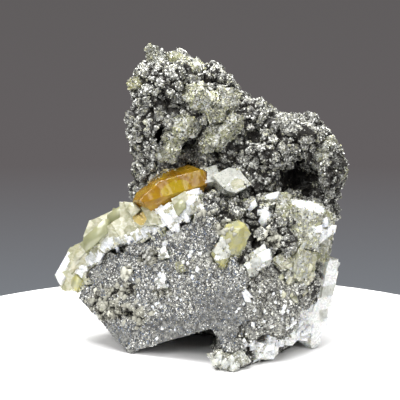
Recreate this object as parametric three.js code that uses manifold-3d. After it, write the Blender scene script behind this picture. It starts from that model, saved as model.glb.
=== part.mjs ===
/**
 * A barite specimen: a mass of grey druse with barite crystals of its own growing out of it.
 *
 * Millimetres, +Z up. The shown side looks along -Y and +X is on its right. The origin lies on the
 * table, under the middle of the specimen. The lower block is a wedge in plan with its nose to the
 * front, hollowed from below by an arch. The upper mass stands behind it and is full of small vugs.
 */
import * as THREE from "three";
import { ConvexGeometry } from "three/addons/geometries/ConvexGeometry.js";
import { MeshSurfaceSampler } from "three/addons/math/MeshSurfaceSampler.js";
import { mergeVertices } from "three/addons/utils/BufferGeometryUtils.js";
import Module from "manifold-3d";

const wasm = await Module();
wasm.setup();

// Driving dimensions
const GAP = 0.3; // clear space left between a crystal and the mass that holds it
const WELD = 1e-4; // corners nearer than this are one corner
const FAR = 60; // a distance that reaches past the specimen from any point of it

// Barite's axes in angstroms, which set the angles between its faces
const BARITE = { a: 8.884, b: 5.457, c: 7.157 };

// Looks of the pieces: colour, roughness and metalness
const FINISH = {
  druse: { color: 0x76767a, roughness: 0.42, metalness: 0.65 },
  golden: { color: 0xd79a2b, roughness: 0.18, metalness: 0 },
  pale: { color: 0xe6dfae, roughness: 0.25, metalness: 0 },
  yellow: { color: 0xcfc25a, roughness: 0.3, metalness: 0 },
  white: { color: 0xf0efe8, roughness: 0.35, metalness: 0 },
  olive: { color: 0xb3b188, roughness: 0.4, metalness: 0 },
};

const vec = (x, y, z) => new THREE.Vector3(x, y, z);

/** Returns a repeatable source of random numbers from 0 to 1. */
function randomSource(seed) {
  let state = seed >>> 0;
  return () => {
    state = (state + 0x6d2b79f5) >>> 0;
    let mixed = Math.imul(state ^ (state >>> 15), state | 1);
    mixed ^= mixed + Math.imul(mixed ^ (mixed >>> 7), mixed | 61);
    return ((mixed ^ (mixed >>> 14)) >>> 0) / 4294967296;
  };
}

/** Turns a closed geometry into a solid that can be joined and cut. */
function solidOf(geometry) {
  const bare = geometry.clone();
  bare.deleteAttribute("normal");
  bare.deleteAttribute("uv");
  const welded = mergeVertices(bare, WELD);
  const mesh = new wasm.Mesh({
    numProp: 3,
    vertProperties: welded.getAttribute("position").array,
    triVerts: new Uint32Array(welded.index.array),
  });
  return new wasm.Manifold(mesh);
}

/** Turns a solid back into a geometry with flat faces. */
function geometryOf(solid) {
  const mesh = solid.getMesh();
  const indexed = new THREE.BufferGeometry();
  indexed.setAttribute("position", new THREE.BufferAttribute(mesh.vertProperties, 3));
  indexed.setIndex(new THREE.BufferAttribute(mesh.triVerts, 1));
  const flat = indexed.toNonIndexed();
  flat.computeVertexNormals();
  return flat;
}

const joinAll = (solids) => solids.reduce((whole, piece) => whole.add(piece));
const cutAll = (solid, cutters) => cutters.reduce((rest, cutter) => rest.subtract(cutter), solid);

/** Keeps the largest body of a solid and drops any loose crumbs. */
function largestBody(solid) {
  const bodies = solid.decompose();
  return bodies.reduce((best, body) => (body.volume() > best.volume() ? body : best));
}

/** Trims a solid flat where it stands on the table. */
const aboveTable = (solid) => solid.trimByPlane([0, 0, 1], 0);

/** A plane with its outward normal, through a point. */
function plane(normal, point) {
  return new THREE.Plane().setFromNormalAndCoplanarPoint(normal.clone().normalize(), point);
}

/** The corner where three planes meet, or null where they don't meet in one point. */
function corner(p, q, r) {
  const qr = q.normal.clone().cross(r.normal);
  const size = p.normal.dot(qr);
  if (Math.abs(size) < 1e-6) return null;
  const rp = r.normal.clone().cross(p.normal);
  const pq = p.normal.clone().cross(q.normal);
  return qr.multiplyScalar(-p.constant)
    .addScaledVector(rp, -q.constant)
    .addScaledVector(pq, -r.constant)
    .divideScalar(size);
}

/** The convex solid on the inner side of every plane, each moved outwards by grow. */
function solidInside(planes, grow = 0) {
  const moved = planes.map((p) => new THREE.Plane(p.normal.clone(), p.constant - grow));
  const corners = [];
  for (let i = 0; i < moved.length; i++)
    for (let j = i + 1; j < moved.length; j++)
      for (let k = j + 1; k < moved.length; k++) {
        const point = corner(moved[i], moved[j], moved[k]);
        if (!point || moved.some((p) => p.distanceToPoint(point) > WELD)) continue;
        if (corners.every((other) => other.distanceTo(point) > 10 * WELD)) corners.push(point);
      }
  return solidOf(new ConvexGeometry(corners));
}

/** The unit normal of the crystal face (h k l). */
const faceNormal = (h, k, l) => vec(h / BARITE.a, k / BARITE.b, l / BARITE.c).normalize();

// The forms of barite that the specimen shows: its table, prism, two domes and two pinacoids
const FORMS = {
  table: [[0, 0, 1]],
  prism: [[2, 1, 0], [2, -1, 0]],
  sideDome: [[1, 0, 1], [1, 0, -1]],
  endDome: [[0, 1, 1], [0, 1, -1]],
  side: [[0, 1, 0]],
  end: [[1, 0, 0]],
};

/**
 * The face planes of one barite crystal.
 * at is its middle, c the direction square to its table, a its long direction within the table, and
 * each named form is the distance in mm of those faces from the middle. broken lists the outward
 * normals of its broken faces, each with a point that the face passes through.
 */
function crystalPlanes({ at, c, a, broken = [], ...distances }) {
  const upright = vec(...c).normalize();
  const along = vec(...a);
  along.addScaledVector(upright, -along.dot(upright)).normalize();
  const across = upright.clone().cross(along);
  const turn = new THREE.Matrix4().makeBasis(along, across, upright);
  const middle = vec(...at);
  const planes = broken.map(([normal, point]) => plane(vec(...normal), vec(...point)));
  for (const [form, distance] of Object.entries(distances))
    for (const indices of FORMS[form])
      for (const side of [1, -1]) {
        const normal = faceNormal(...indices).applyMatrix4(turn).multiplyScalar(side);
        planes.push(plane(normal, middle.clone().addScaledVector(normal, distance)));
      }
  return planes;
}

/** A group of crystals grown together: the joined solid, and the larger one that its seat needs. */
function cluster(crystals) {
  const faces = crystals.map(crystalPlanes);
  return {
    body: joinAll(faces.map((planes) => solidInside(planes))),
    seat: joinAll(faces.map((planes) => solidInside(planes, GAP))),
  };
}

/** A rough convex lump: points spread evenly over an ellipsoid, each moved in or out at random. */
function lump({ at, size, seed, points = 20, rough = 0.14, turn = [0, 0, 0] }) {
  const random = randomSource(seed);
  const spread = Math.PI * (3 - Math.sqrt(5));
  const corners = [];
  for (let i = 0; i < points; i++) {
    const height = 1 - (2 * (i + 0.5)) / points;
    const ring = Math.sqrt(1 - height * height);
    const angle = spread * i + random() * 0.5;
    const reach = 1 + rough * (2 * random() - 1);
    corners.push(vec(ring * Math.cos(angle), ring * Math.sin(angle), height).multiplyScalar(reach));
  }
  const shape = new ConvexGeometry(corners);
  shape.scale(...size);
  const tilt = new THREE.Euler(...turn.map(THREE.MathUtils.degToRad));
  shape.applyMatrix4(new THREE.Matrix4().makeRotationFromEuler(tilt));
  shape.translate(...at);
  return solidOf(shape);
}

// The lower block's faces: outward normal and a point that each face passes through
const BLOCK_FACES = {
  frontLeft: [vec(-0.532, -1, 0.15), vec(-19.6, -9.5, 0)],
  nose: [vec(0.12, -0.99, 0), vec(11, -22, 10)],
  frontRight: [vec(0.7, -0.7, -0.12), vec(31.5, -3, 0)],
  rightUndercut: [vec(0.7, -0.4, -0.6), vec(17.5, -17.5, 0)],
  undercut: [vec(-0.65, 0.1, -0.78), vec(-20.2, -9.5, 0)],
  leftEnd: [vec(-0.9, 0.1, 0.34), vec(-33.4, 4, 14.5)],
  shelf: [vec(-0.46, 0.1, 0.88), vec(-16, -2, 30)],
  shelfRight: [vec(0.55, -0.62, 0.56), vec(7, -17.5, 34)],
  rightEnd: [vec(1, 0.3, -0.12), vec(36.6, 0, 22)],
  top: [vec(0, -0.2, 1), vec(0, -6, 42)],
  back: [vec(0, 1, 0), vec(0, 16, 0)],
  bottom: [vec(0, 0, -1), vec(0, 0, -2)],
};

/** The place on the front left face at this x and z, moved out of the face by out. */
function onFrontFace(x, z, out = 0) {
  const [normal, point] = BLOCK_FACES.frontLeft;
  const y = point.y - (normal.x * (x - point.x) + normal.z * z) / normal.y;
  return vec(x, y, z).addScaledVector(normal.clone().normalize(), out).toArray();
}

// The arch under the block, as seen from the front: from the left foot up to the notch by the toe
const ARCH = {
  outline: [[-20.6, -3], [-19, 0.2], [3.3, 9.9], [6.5, 4.8], [3.8, 1.6], [3.4, -3]],
  front: -FAR / 2,
  back: 9,
};

// Lumps that the mass is grown from: place, half sizes and seed
const UPPER_LUMPS = [
  { at: [-8.6, 8, 72.6], size: [11.4, 13, 10.6], seed: 11 },
  { at: [-13.2, 6, 61.5], size: [8, 12, 10], seed: 12 },
  { at: [-11.4, 8, 50], size: [7.4, 12, 10], seed: 13 },
  { at: [2, 9, 66.4], size: [11.4, 14.4, 10.6], seed: 14 },
  { at: [3.4, 9, 72.4], size: [7.6, 9, 6.2], seed: 21 },
  { at: [14.4, 10, 62.4], size: [8, 10, 7], seed: 22 },
  { at: [14, 1, 50.4], size: [7.4, 6.4, 5.6], seed: 23 },
  { at: [8, 9, 58], size: [11.5, 13, 9], seed: 15 },
  { at: [19, 9, 56], size: [11.6, 13.5, 8.6], seed: 16 },
  { at: [29.6, 10, 58.4], size: [6.4, 10, 7.4], seed: 17 },
  { at: [35, 9, 49.6], size: [7, 12, 10.6], seed: 18 },
  { at: [30.6, 9, 38.6], size: [9, 12, 9], seed: 19 },
  { at: [12, 9, 45.4], size: [18, 13, 11], seed: 20 },
];
const LOWER_LUMPS = [
  { at: [2.4, -9.6, 42], size: [4.2, 4.6, 4], seed: 31 },
  { at: [8.6, -9.4, 37.6], size: [4.4, 5, 4.8], seed: 32 },
  { at: [16.6, -10, 34.4], size: [3.4, 4, 3.8], seed: 33 },
  { at: [14.6, -4, 39.6], size: [8, 7, 5.4], seed: 34 },
  { at: [25, -5, 33.6], size: [8.4, 6.6, 7.6], seed: 35 },
  { at: [9.4, -21.6, 2.6], size: [5.6, 4.8, 4.6], seed: 36 },
  { at: [19, -13.4, 12], size: [9, 7, 9], seed: 37 },
  { at: [27, -6.4, 19], size: [7, 7, 8], seed: 38 },
];

// Lumps that have grown over the left and lower edges of the fan
const COVER_LUMPS = [
  { at: [20.4, -9.4, 37], size: [3.6, 3.4, 4.4], seed: 91, points: 13 },
  { at: [24, -10.4, 33], size: [4.6, 3.4, 3.6], seed: 92, points: 13 },
  { at: [29.4, -9.8, 31.2], size: [4, 3.2, 3], seed: 93, points: 13 },
  { at: [24.6, -9.2, 37.6], size: [2.6, 2.4, 2.2], seed: 94, points: 13 },
];

const BACK_LUMPS = [
  { at: [-4, 16, 44], size: [17, 11, 18], seed: 41, points: 17 },
  { at: [16, 16, 40], size: [17, 11, 16], seed: 42, points: 17 },
  { at: [-8, 13, 20], size: [20, 12, 17], seed: 43, points: 17 },
  { at: [16, 12, 18], size: [18, 12, 16], seed: 44, points: 17 },
  { at: [2, 12, 5], size: [20, 12, 10], seed: 45, points: 17 },
];

// Hollows: the large vug's three chambers, then the small slots and pits
const VUG = [
  { at: [24.6, 0, 48.2], size: [5, 10, 2.8], seed: 51 },
  { at: [29.8, 0, 47.6], size: [5.6, 12, 5], seed: 52 },
  { at: [31.6, -1, 43.6], size: [4.2, 9, 3.4], seed: 53 },
];
const PITS = [
  { at: [13.6, -3.6, 58.8], size: [4.2, 5.4, 1.6], seed: 61 },
  { at: [19.8, -4.6, 57.6], size: [1.9, 4, 1.4], seed: 62 },
  { at: [7.4, -4.4, 55.4], size: [1.8, 3.4, 1.4], seed: 63 },
  { at: [-12.4, -5, 70.2], size: [2.2, 2.8, 2], seed: 64 },
  { at: [-10.6, -5, 61.6], size: [2.2, 3.2, 2.2], seed: 65 },
  { at: [14.4, -11.6, 37.4], size: [2, 3.4, 2.4], seed: 66 },
  { at: [5.6, -13, 38.4], size: [1.4, 3, 2.2], seed: 67 },
];

/** The lower block with the arch cut out from under it. */
function lowerBlock() {
  const faces = Object.values(BLOCK_FACES).map(([normal, point]) => plane(normal, point));
  return solidInside(faces);
}

/** The space under the arch, drawn as seen from the front and pushed back through the block. */
function archSpace() {
  const outline = new THREE.Shape(ARCH.outline.map(([x, z]) => new THREE.Vector2(x, z)));
  const depth = ARCH.back - ARCH.front;
  const space = new THREE.ExtrudeGeometry(outline, { depth, bevelEnabled: false });
  space.rotateX(Math.PI / 2);
  space.translate(0, ARCH.back, 0);
  return solidOf(space);
}

// Small lumps that cover the mass: how many, how large, how low and how far right they may sit
const KNOBS = { count: 32, small: 2, large: 4.3, seed: 3, points: 10, lowest: 4.5, farthest: 36.4 };

// Flat scabs of crust on the lower left of the front left face: x and z, in reading order
const CRUST = {
  spots: [[-27, 15.2], [-21.8, 15.4], [-17, 13.4], [-28, 11], [-23.6, 10], [-19, 8.6], [-21.6, 5.2]],
  size: [3.6, 1.1, 2.5],
  yaw: -28,
};

/** The scabs of crust, each lying flat on the face. */
function crust() {
  return CRUST.spots.map(([x, z], i) => {
    const at = onFrontFace(x, z);
    return lump({ at, size: CRUST.size, seed: 80 + i, points: 12, turn: [0, 0, CRUST.yaw] });
  });
}

/** Whether a spot on the mass is on the nearly flat front faces, which carry few lumps. */
function onFlatFront(spot) {
  return ["frontLeft", "nose"].some((name) => {
    const [normal, point] = BLOCK_FACES[name];
    return Math.abs(plane(normal, point).distanceToPoint(spot)) < 0.6;
  });
}

/** The small lumps, scattered over the surface of the mass. */
function knobs(mass) {
  const random = randomSource(KNOBS.seed);
  const skin = new THREE.Mesh(geometryOf(mass));
  const sampler = new MeshSurfaceSampler(skin).setRandomGenerator(random).build();
  const grown = [];
  const spot = vec(0, 0, 0);
  const outward = vec(0, 0, 0);
  while (grown.length < KNOBS.count) {
    sampler.sample(spot, outward);
    if (spot.z < KNOBS.lowest || spot.x > KNOBS.farthest || onFlatFront(spot)) continue;
    const reach = KNOBS.small + (KNOBS.large - KNOBS.small) * random() ** 2;
    const size = [reach, reach * (0.8 + 0.4 * random()), reach * (0.8 + 0.4 * random())];
    const seed = KNOBS.seed * 1000 + grown.length;
    grown.push(lump({ at: spot.toArray(), size, seed, points: KNOBS.points, rough: 0.22 }));
  }
  return grown;
}

// The way that the front left face looks out, which the ledge's crystals are square to
const FRONT = [-0.47, -0.87, 0.14];

// The stepped ledge of tablets along the block's upper left edge: x and z of its line, left to right
const LEDGE = {
  line: [[-34.7, 19.4], [-31, 26.6], [-24.4, 32], [-15.7, 36.4], [-8, 39.8], [-3.4, 43]],
  tablets: 9,
  seed: 3,
  half: 4.2,
  prism: [2.9, 3.6],
};
const LEDGE_BEHIND = [
  {
    at: [-35.2, 6.6, 19.4], c: [-0.62, -0.76, 0.2], a: [0.34, 0, 0.94],
    table: 3, prism: 5, end: 5.8, side: 2.8,
  },
  { at: [-31.6, 7.6, 23.6], c: [-0.5, -0.84, 0.2], a: [0.24, 0, 1], table: 4, prism: 4.2, end: 4.6, side: 5 },
  {
    at: [-26.8, 5.4, 30.6], c: [-0.36, -0.88, 0.3], a: [0.3, 0, 1],
    table: 4.2, prism: 4.6, end: 4.3, side: 4.4,
  },
  { at: [-20.2, 3.8, 33], c: [-0.5, -0.8, 0.3], a: [0.9, 0.1, 0.34], table: 4.2, prism: 3.8 },
  { at: [-18.4, 0, 38.2], c: [-0.47, -0.84, 0.26], a: [0.72, 0, 0.7], table: 3.6, prism: 2.7 },
];

/** The ledge's tablets: a front row stepping along the face's edge, with larger ones behind it. */
function ledgeCrystals() {
  const random = randomSource(LEDGE.seed);
  const line = new THREE.CatmullRomCurve3(LEDGE.line.map(([x, z]) => vec(x, 0, z)));
  const jitter = (size) => size * (2 * random() - 1);
  const front = line.getSpacedPoints(LEDGE.tablets - 1).map(({ x, z }) => {
    const [small, large] = LEDGE.prism;
    return {
      at: onFrontFace(x, z + jitter(0.5), 0.4 + jitter(0.5) - LEDGE.half),
      c: [FRONT[0] + jitter(0.14), FRONT[1], FRONT[2] + jitter(0.16)],
      a: [0.1 + jitter(0.3), 0, 1],
      table: LEDGE.half,
      prism: small + (large - small) * random(),
    };
  });
  return [...front, ...LEDGE_BEHIND];
}

// The fan of upright plates with a bright upper edge, under the large vug: each one turns further
// to the right and stands lower than the one before it
const FAN = [
  {
    at: [24.8, -6.4, 37], c: [-0.06, -0.93, 0.36], a: [0.99, -0.02, -0.1],
    table: 3, side: 6.2, end: 4, prism: 6.6,
  },
  {
    at: [28.8, -6.2, 36], c: [0.2, -0.9, 0.34], a: [0.95, 0.1, -0.22],
    table: 3.2, side: 6.6, end: 4.2, prism: 7,
  },
  {
    at: [32, -4.6, 34.2], c: [0.44, -0.84, 0.3], a: [0.84, 0.3, -0.42],
    table: 2.8, side: 6, end: 4, prism: 6.2,
  },
  {
    at: [33, -3.4, 30.4], c: [0.66, -0.74, 0.1], a: [0.3, 0.2, 0.93],
    table: 2.4, side: 3.2, end: 5, prism: 5,
  },
  { at: [21.2, -4.6, 43.4], c: [0.1, -0.62, 0.78], a: [0.96, 0, 0.2], table: 1, side: 1.5, prism: 3.4 },
  { at: [16.4, -5.6, 42.2], c: [0, -0.7, 0.7], a: [0.99, 0, 0.1], table: 1.1, side: 1.3, prism: 4 },
];

// The other crystals. Each list is one piece: its crystals have grown together.
const GOLDEN = [
  {
    at: [-8, -3.6, 46], c: [0.1, -0.91, 0.4], a: [0.94, -0.06, 0.34],
    table: 4, endDome: 4.2, prism: 8.6, sideDome: 9.2,
    broken: [[[-0.62, -0.1, 0.78], [-10.1, -7, 49.8]]],
  },
];
const YELLOW = [
  {
    at: [8.3, -15.6, 32.8], c: [0.62, -0.77, -0.14], a: [0.52, 0.1, 0.85],
    table: 3, endDome: 3.6, prism: 5.6, sideDome: 5.8,
  },
];
const WEDGE = [
  {
    at: [8.3, -5, 48.2], c: [0.24, -0.88, 0.4], a: [0.16, 0.38, 0.92],
    table: 2.6, prism: 3.5, end: 3.3,
  },
  { at: [3.2, -3.6, 49.4], c: [-0.2, -0.8, 0.56], a: [0.5, 0.3, 0.8], table: 1.9, prism: 2.4 },
];
const WHITE = [
  { at: [16.4, -15, 28.8], c: [0.2, -0.84, 0.5], a: [0.9, 0.1, -0.3], table: 1.7, prism: 2.6, sideDome: 2.8 },
  { at: [13.8, -17.2, 26.2], c: [0.5, -0.8, 0.3], a: [0.7, 0, 0.6], table: 1.6, prism: 2, endDome: 2.1 },
];
const STRIATED = [
  { at: [28, -9.6, 26.6], c: [0.6, -0.78, 0.12], a: [0.26, 0.1, 0.96], table: 2.8, prism: 5.4, side: 3 },
  { at: [25.6, -10.6, 24.4], c: [0.4, -0.9, 0.12], a: [0.5, 0, 0.86], table: 2.2, prism: 3.6, side: 2.2 },
  { at: [22.8, -11.4, 27], c: [0.3, -0.88, 0.4], a: [0.2, 0, 0.98], table: 1.8, prism: 2.2 },
];
const RIM = [
  {
    at: [35.2, -0.6, 19], c: [0.74, -0.66, -0.06], a: [0.2, 0.1, 0.97],
    table: 1.9, prism: 6, end: 6.4, side: 2.7,
  },
  {
    at: [33, -2, 12.4], c: [0.68, -0.73, 0.04], a: [0.36, 0.1, 0.93],
    table: 2.2, prism: 7.2, end: 7.4, side: 3.4,
  },
  { at: [28.4, -6, 9.4], c: [0.56, -0.82, 0.16], a: [0.66, 0.3, 0.7], table: 2.2, prism: 6, side: 4.2 },
  { at: [31.4, -3, 4.8], c: [0.74, -0.66, -0.1], a: [0.1, 0, 0.98], table: 2, prism: 3.9, side: 2.2 },
  { at: [25.4, -9.4, 6.4], c: [0.5, -0.84, 0.2], a: [0.5, 0.4, 0.5], table: 1.8, prism: 3.8, side: 2.2 },
];
const FRINGE = [
  { at: [16.6, -18.4, 3.6], c: [0.66, -0.72, -0.1], a: [0.5, 0.5, 0.6], table: 1.6, prism: 2.2 },
  { at: [19.4, -15.6, 4.6], c: [0.66, -0.72, -0.1], a: [0.6, 0.5, 0.4], table: 1.6, prism: 2.3 },
  { at: [22.6, -12.4, 5.8], c: [0.66, -0.72, -0.1], a: [0.4, 0.5, 0.7], table: 1.6, prism: 2.2 },
];
const TOE = [
  { at: [5.4, -23.6, 2.6], c: [-0.3, -0.8, 0.5], a: [0.2, 0, 0.95], table: 1.8, prism: 2 },
  { at: [8, -24.8, 1.9], c: [0.1, -0.9, 0.4], a: [0.9, 0.1, 0.3], table: 1.7, prism: 1.8 },
  { at: [10.4, -23.8, 2.8], c: [0.4, -0.86, 0.3], a: [0.3, 0, 0.95], table: 1.7, prism: 1.9 },
];
const TIP = [
  { at: [-13.2, 7.6, 81.8], c: [-0.3, -0.9, 0.2], a: [-0.3, 0.1, 0.95], table: 1.3, prism: 2.5, side: 1.6 },
  { at: [-11.2, 7, 80.6], c: [0.2, -0.9, 0.4], a: [0.2, 0, 0.96], table: 1.3, prism: 2 },
];
const CREST = [
  { at: [-5.2, 5.6, 80.6], c: [0.36, -0.2, 0.92], a: [0.92, 0, -0.36], table: 1, prism: 3.6, side: 2.2 },
  { at: [-1.4, 5, 79], c: [0.4, -0.4, 0.8], a: [0.8, 0, -0.5], table: 1, prism: 2.3 },
];
const CROWN = [
  {
    at: [-0.6, -1.6, 71.4], c: [-0.55, -0.62, 0.55], a: [0.3, 0.2, 0.9],
    table: 2.7, prism: 3.2, sideDome: 3.4,
  },
  { at: [2.6, -2, 70.2], c: [0.2, -0.5, 0.84], a: [0.9, 0.1, -0.1], table: 2.4, prism: 3, endDome: 3 },
  { at: [6.8, -1.8, 70.6], c: [0.5, -0.7, 0.5], a: [-0.3, 0.1, 0.95], table: 2.4, prism: 3.1, sideDome: 3.2 },
  { at: [4.8, -2.8, 67.2], c: [-0.2, -0.9, 0.3], a: [0.4, 0, 0.9], table: 2.2, prism: 2.9, side: 2.4 },
];
const INNER = [
  {
    at: [6.4, -3, 62.2], c: [-0.36, -0.8, 0.46], a: [0.72, 0.1, 0.7],
    table: 2.5, prism: 4.8, side: 2.6, endDome: 3.4,
  },
  { at: [2.6, -3.2, 59.4], c: [0.3, -0.86, 0.4], a: [0.5, 0, 0.86], table: 2, prism: 2.8, side: 2.2 },
];
const WAIST = [
  { at: [-4.8, -2.2, 63], c: [-0.5, -0.7, 0.5], a: [-0.4, 0.1, 0.9], table: 2.5, prism: 3.2, sideDome: 3.4 },
  { at: [-7.6, -2.6, 59.2], c: [0.2, -0.84, 0.5], a: [0.4, 0, 0.9], table: 2.4, prism: 3.4, side: 2.9 },
  { at: [-8.8, -3.4, 56.2], c: [-0.4, -0.84, 0.2], a: [0.8, 0, 0.5], table: 2, prism: 2.6, endDome: 2.8 },
];
const SHOULDER = [
  { at: [35.8, 3.4, 53.6], c: [0.6, -0.76, 0.3], a: [0.16, 0.2, 0.95], table: 1.9, prism: 4.4, side: 2.8 },
  { at: [37.6, 4.8, 49], c: [0.7, -0.7, 0.1], a: [-0.1, 0.1, 0.98], table: 1.8, prism: 3 },
];
const AMBER = [
  { at: [-18, 3.4, 74.4], c: [-0.7, -0.6, 0.3], a: [0.3, 0, 0.95], table: 1.2, prism: 1.6 },
];
const BACK_PLATES = [
  { at: [-12, 24, 34], c: [-0.3, 0.86, 0.4], a: [0.7, 0, 0.7], table: 2.2, prism: 5 },
  { at: [-7.4, 24.4, 29.6], c: [0.1, 0.9, 0.3], a: [0.3, 0, 0.95], table: 2.2, prism: 4.6 },
  { at: [-13.6, 22.6, 27.6], c: [-0.2, 0.95, 0.1], a: [0.9, 0, 0.4], table: 2.2, prism: 4.4 },
];
const BACK_BLADES = [
  { at: [22, 25, 44], c: [0.4, 0.8, 0.4], a: [0.5, 0, 0.86], table: 1.8, prism: 5.4, side: 3.2 },
  { at: [17, 25.4, 46.6], c: [0, 0.9, 0.4], a: [-0.4, 0, 0.9], table: 1.8, prism: 4.8, side: 3 },
];
const FACE_SPOTS = { size: 1.3, half: 1.5, white: [-10.4, 20.6], green: [-5, 26], upper: [-10, 29] };

/** One small crystal set in the front left face, at this x and z. */
function faceCrystal([x, z], c) {
  const at = onFrontFace(x, z, -0.4);
  return [{ at, c, a: [0.5, 0, 0.86], table: FACE_SPOTS.half, prism: FACE_SPOTS.size }];
}

const CRYSTALS = {
  golden_barite: ["golden", GOLDEN],
  barite_ledge: ["pale", ledgeCrystals()],
  wedge_barite: ["pale", WEDGE],
  yellow_barite: ["yellow", YELLOW],
  white_barite: ["white", WHITE],
  arc_barite: ["white", FAN],
  striated_barite: ["pale", STRIATED],
  rim_barite: ["white", RIM],
  fringe_barite: ["white", FRINGE],
  toe_barite: ["pale", TOE],
  tip_barite: ["olive", TIP],
  crest_barite: ["olive", CREST],
  crown_barite: ["olive", CROWN],
  inner_barite: ["olive", INNER],
  waist_barite: ["olive", WAIST],
  shoulder_barite: ["olive", SHOULDER],
  amber_barite: ["golden", AMBER],
  face_barite_white: ["white", faceCrystal(FACE_SPOTS.white, [-0.4, -0.8, 0.4])],
  face_barite_green: ["olive", faceCrystal(FACE_SPOTS.green, [-0.7, -0.7, 0.2])],
  face_barite_upper: ["white", faceCrystal(FACE_SPOTS.upper, [-0.2, -0.9, 0.3])],
  back_plates: ["pale", BACK_PLATES],
  back_blades: ["pale", BACK_BLADES],
};

/** Every crystal piece of the specimen by name, with its solid and the seat that it needs. */
function growCrystals() {
  const grown = {};
  for (const [name, [finish, crystals]] of Object.entries(CRYSTALS)) {
    const { body, seat } = cluster(crystals);
    const earlier = Object.values(grown).map((other) => other.seat);
    grown[name] = { finish, body: largestBody(aboveTable(cutAll(body, earlier))), seat };
  }
  return grown;
}

/** The druse-covered mass, hollowed and cut clear of the crystals that it holds. */
function growMatrix(seats) {
  const mass = joinAll([lowerBlock(), ...[UPPER_LUMPS, LOWER_LUMPS, BACK_LUMPS].flat().map(lump)]);
  const rough = joinAll([mass, ...knobs(mass), ...crust(), ...COVER_LUMPS.map(lump)]);
  const hollows = [archSpace(), ...VUG.map(lump), ...PITS.map(lump)];
  const carved = cutAll(rough, [...hollows, ...seats]);
  return largestBody(aboveTable(carved));
}

/** One named piece with its own material. */
function piece(name, solid, finish) {
  const mesh = new THREE.Mesh(geometryOf(solid), new THREE.MeshStandardMaterial(FINISH[finish]));
  mesh.name = name;
  return mesh;
}

/** Moves the group sideways until the middle of its outer box stands over the origin. */
function overOrigin(group) {
  const middle = new THREE.Box3().setFromObject(group, true).getCenter(vec(0, 0, 0));
  group.position.set(-middle.x, -middle.y, 0);
  return group;
}

/** The whole specimen: the mass and every crystal piece in it. */
function buildSpecimen() {
  const specimen = new THREE.Group();
  specimen.name = "barite_specimen";
  const grown = growCrystals();
  const seats = Object.values(grown).map(({ seat }) => seat);
  specimen.add(piece("matrix", growMatrix(seats), "druse"));
  for (const [name, { body, finish }] of Object.entries(grown))
    specimen.add(piece(name, body, finish));
  return overOrigin(specimen);
}

export default buildSpecimen();
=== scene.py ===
"""Looks of the barite specimen: grey metallic druse over a rough mass, with barite crystals in it.

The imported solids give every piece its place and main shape. Here the mass gets a rough skin with a
coat of small druse crystals, each barite piece gets soft edges and finely broken faces, and a plain
studio lights them. Lengths are in metres, and MM turns a length in millimetres into one.
"""

from __future__ import annotations

import logging
import math
from dataclasses import dataclass, field
from enum import Enum

import bmesh
import bpy
import numpy as np
from bpy.types import Material, Mesh, Node, NodeSocket, NodeTree, Object, bpy_prop_collection
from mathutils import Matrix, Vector
from mathutils.bvhtree import BVHTree
from numpy.random import Generator

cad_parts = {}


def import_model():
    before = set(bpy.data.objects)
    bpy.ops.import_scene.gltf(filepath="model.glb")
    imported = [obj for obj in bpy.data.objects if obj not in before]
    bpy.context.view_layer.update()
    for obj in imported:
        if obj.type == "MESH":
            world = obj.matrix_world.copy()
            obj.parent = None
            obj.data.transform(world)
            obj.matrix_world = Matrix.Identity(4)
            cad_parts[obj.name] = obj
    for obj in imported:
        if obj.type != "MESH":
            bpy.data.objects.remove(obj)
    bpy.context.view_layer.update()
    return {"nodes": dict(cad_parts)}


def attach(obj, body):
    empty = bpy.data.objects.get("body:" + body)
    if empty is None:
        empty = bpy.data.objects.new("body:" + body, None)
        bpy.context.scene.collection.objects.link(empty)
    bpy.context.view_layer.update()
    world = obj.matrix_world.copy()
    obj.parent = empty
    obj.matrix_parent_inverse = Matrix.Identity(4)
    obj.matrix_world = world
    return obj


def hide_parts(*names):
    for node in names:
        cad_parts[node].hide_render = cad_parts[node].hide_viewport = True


MM = 0.001
BARITE_IOR = 1.636
LOG = logging.getLogger("barite_specimen")
Pair = tuple[float, float]
Triple = tuple[float, float, float]


# Repeatable noise

def hashed(cells: np.ndarray, seed: int) -> np.ndarray:
    """Gives every whole-numbered cell its own repeatable number.

    Args:
        cells: Whole numbers, one row of three for each cell.
        seed: Which of many patterns to give.

    Returns:
        One number from 0 to 1 for each cell.
    """
    x, y, z = (cells[..., i].astype(np.int64).astype(np.uint64) for i in range(3))
    mixed = x * np.uint64(0x9E3779B97F4A7C15) + y * np.uint64(0xC2B2AE3D27D4EB4F)
    mixed += z * np.uint64(0x165667B19E3779F9) + np.uint64(seed * 7919 + 13)
    mixed ^= mixed >> np.uint64(29)
    mixed *= np.uint64(0xBF58476D1CE4E5B9)
    mixed ^= mixed >> np.uint64(32)
    mixed *= np.uint64(0x94D049BB133111EB)
    mixed ^= mixed >> np.uint64(31)
    return (mixed >> np.uint64(11)).astype(np.float64) / float(1 << 53)


@dataclass(frozen=True)
class Cloud:
    """Smooth noise that changes over about one size."""

    size: float
    seed: int
    octaves: int = 1

    def layer(self, points: np.ndarray, size: float, seed: int) -> np.ndarray:
        """One layer of the noise.

        Args:
            points: Places, one row each.
            size: Length over which the noise changes.
            seed: Pattern of this layer.

        Returns:
            Values from -1 to 1.
        """
        spots = points / size
        low = np.floor(spots)
        part = spots - low
        part = part * part * (3 - 2 * part)
        total = np.zeros(len(points))
        for corner in np.ndindex(2, 2, 2):
            offset = np.array(corner)
            total += np.prod(np.where(offset == 1, part, 1 - part), axis=1) * hashed(low + offset, seed)
        return 2 * total - 1

    def at(self, points: np.ndarray) -> np.ndarray:
        """The noise at some places, which are one row each: values around 0, mostly from -1 to 1."""
        layers = [self.layer(points, self.size / 2**i, self.seed + i) / 2**i for i in range(self.octaves)]
        return np.sum(layers, axis=0)


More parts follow.
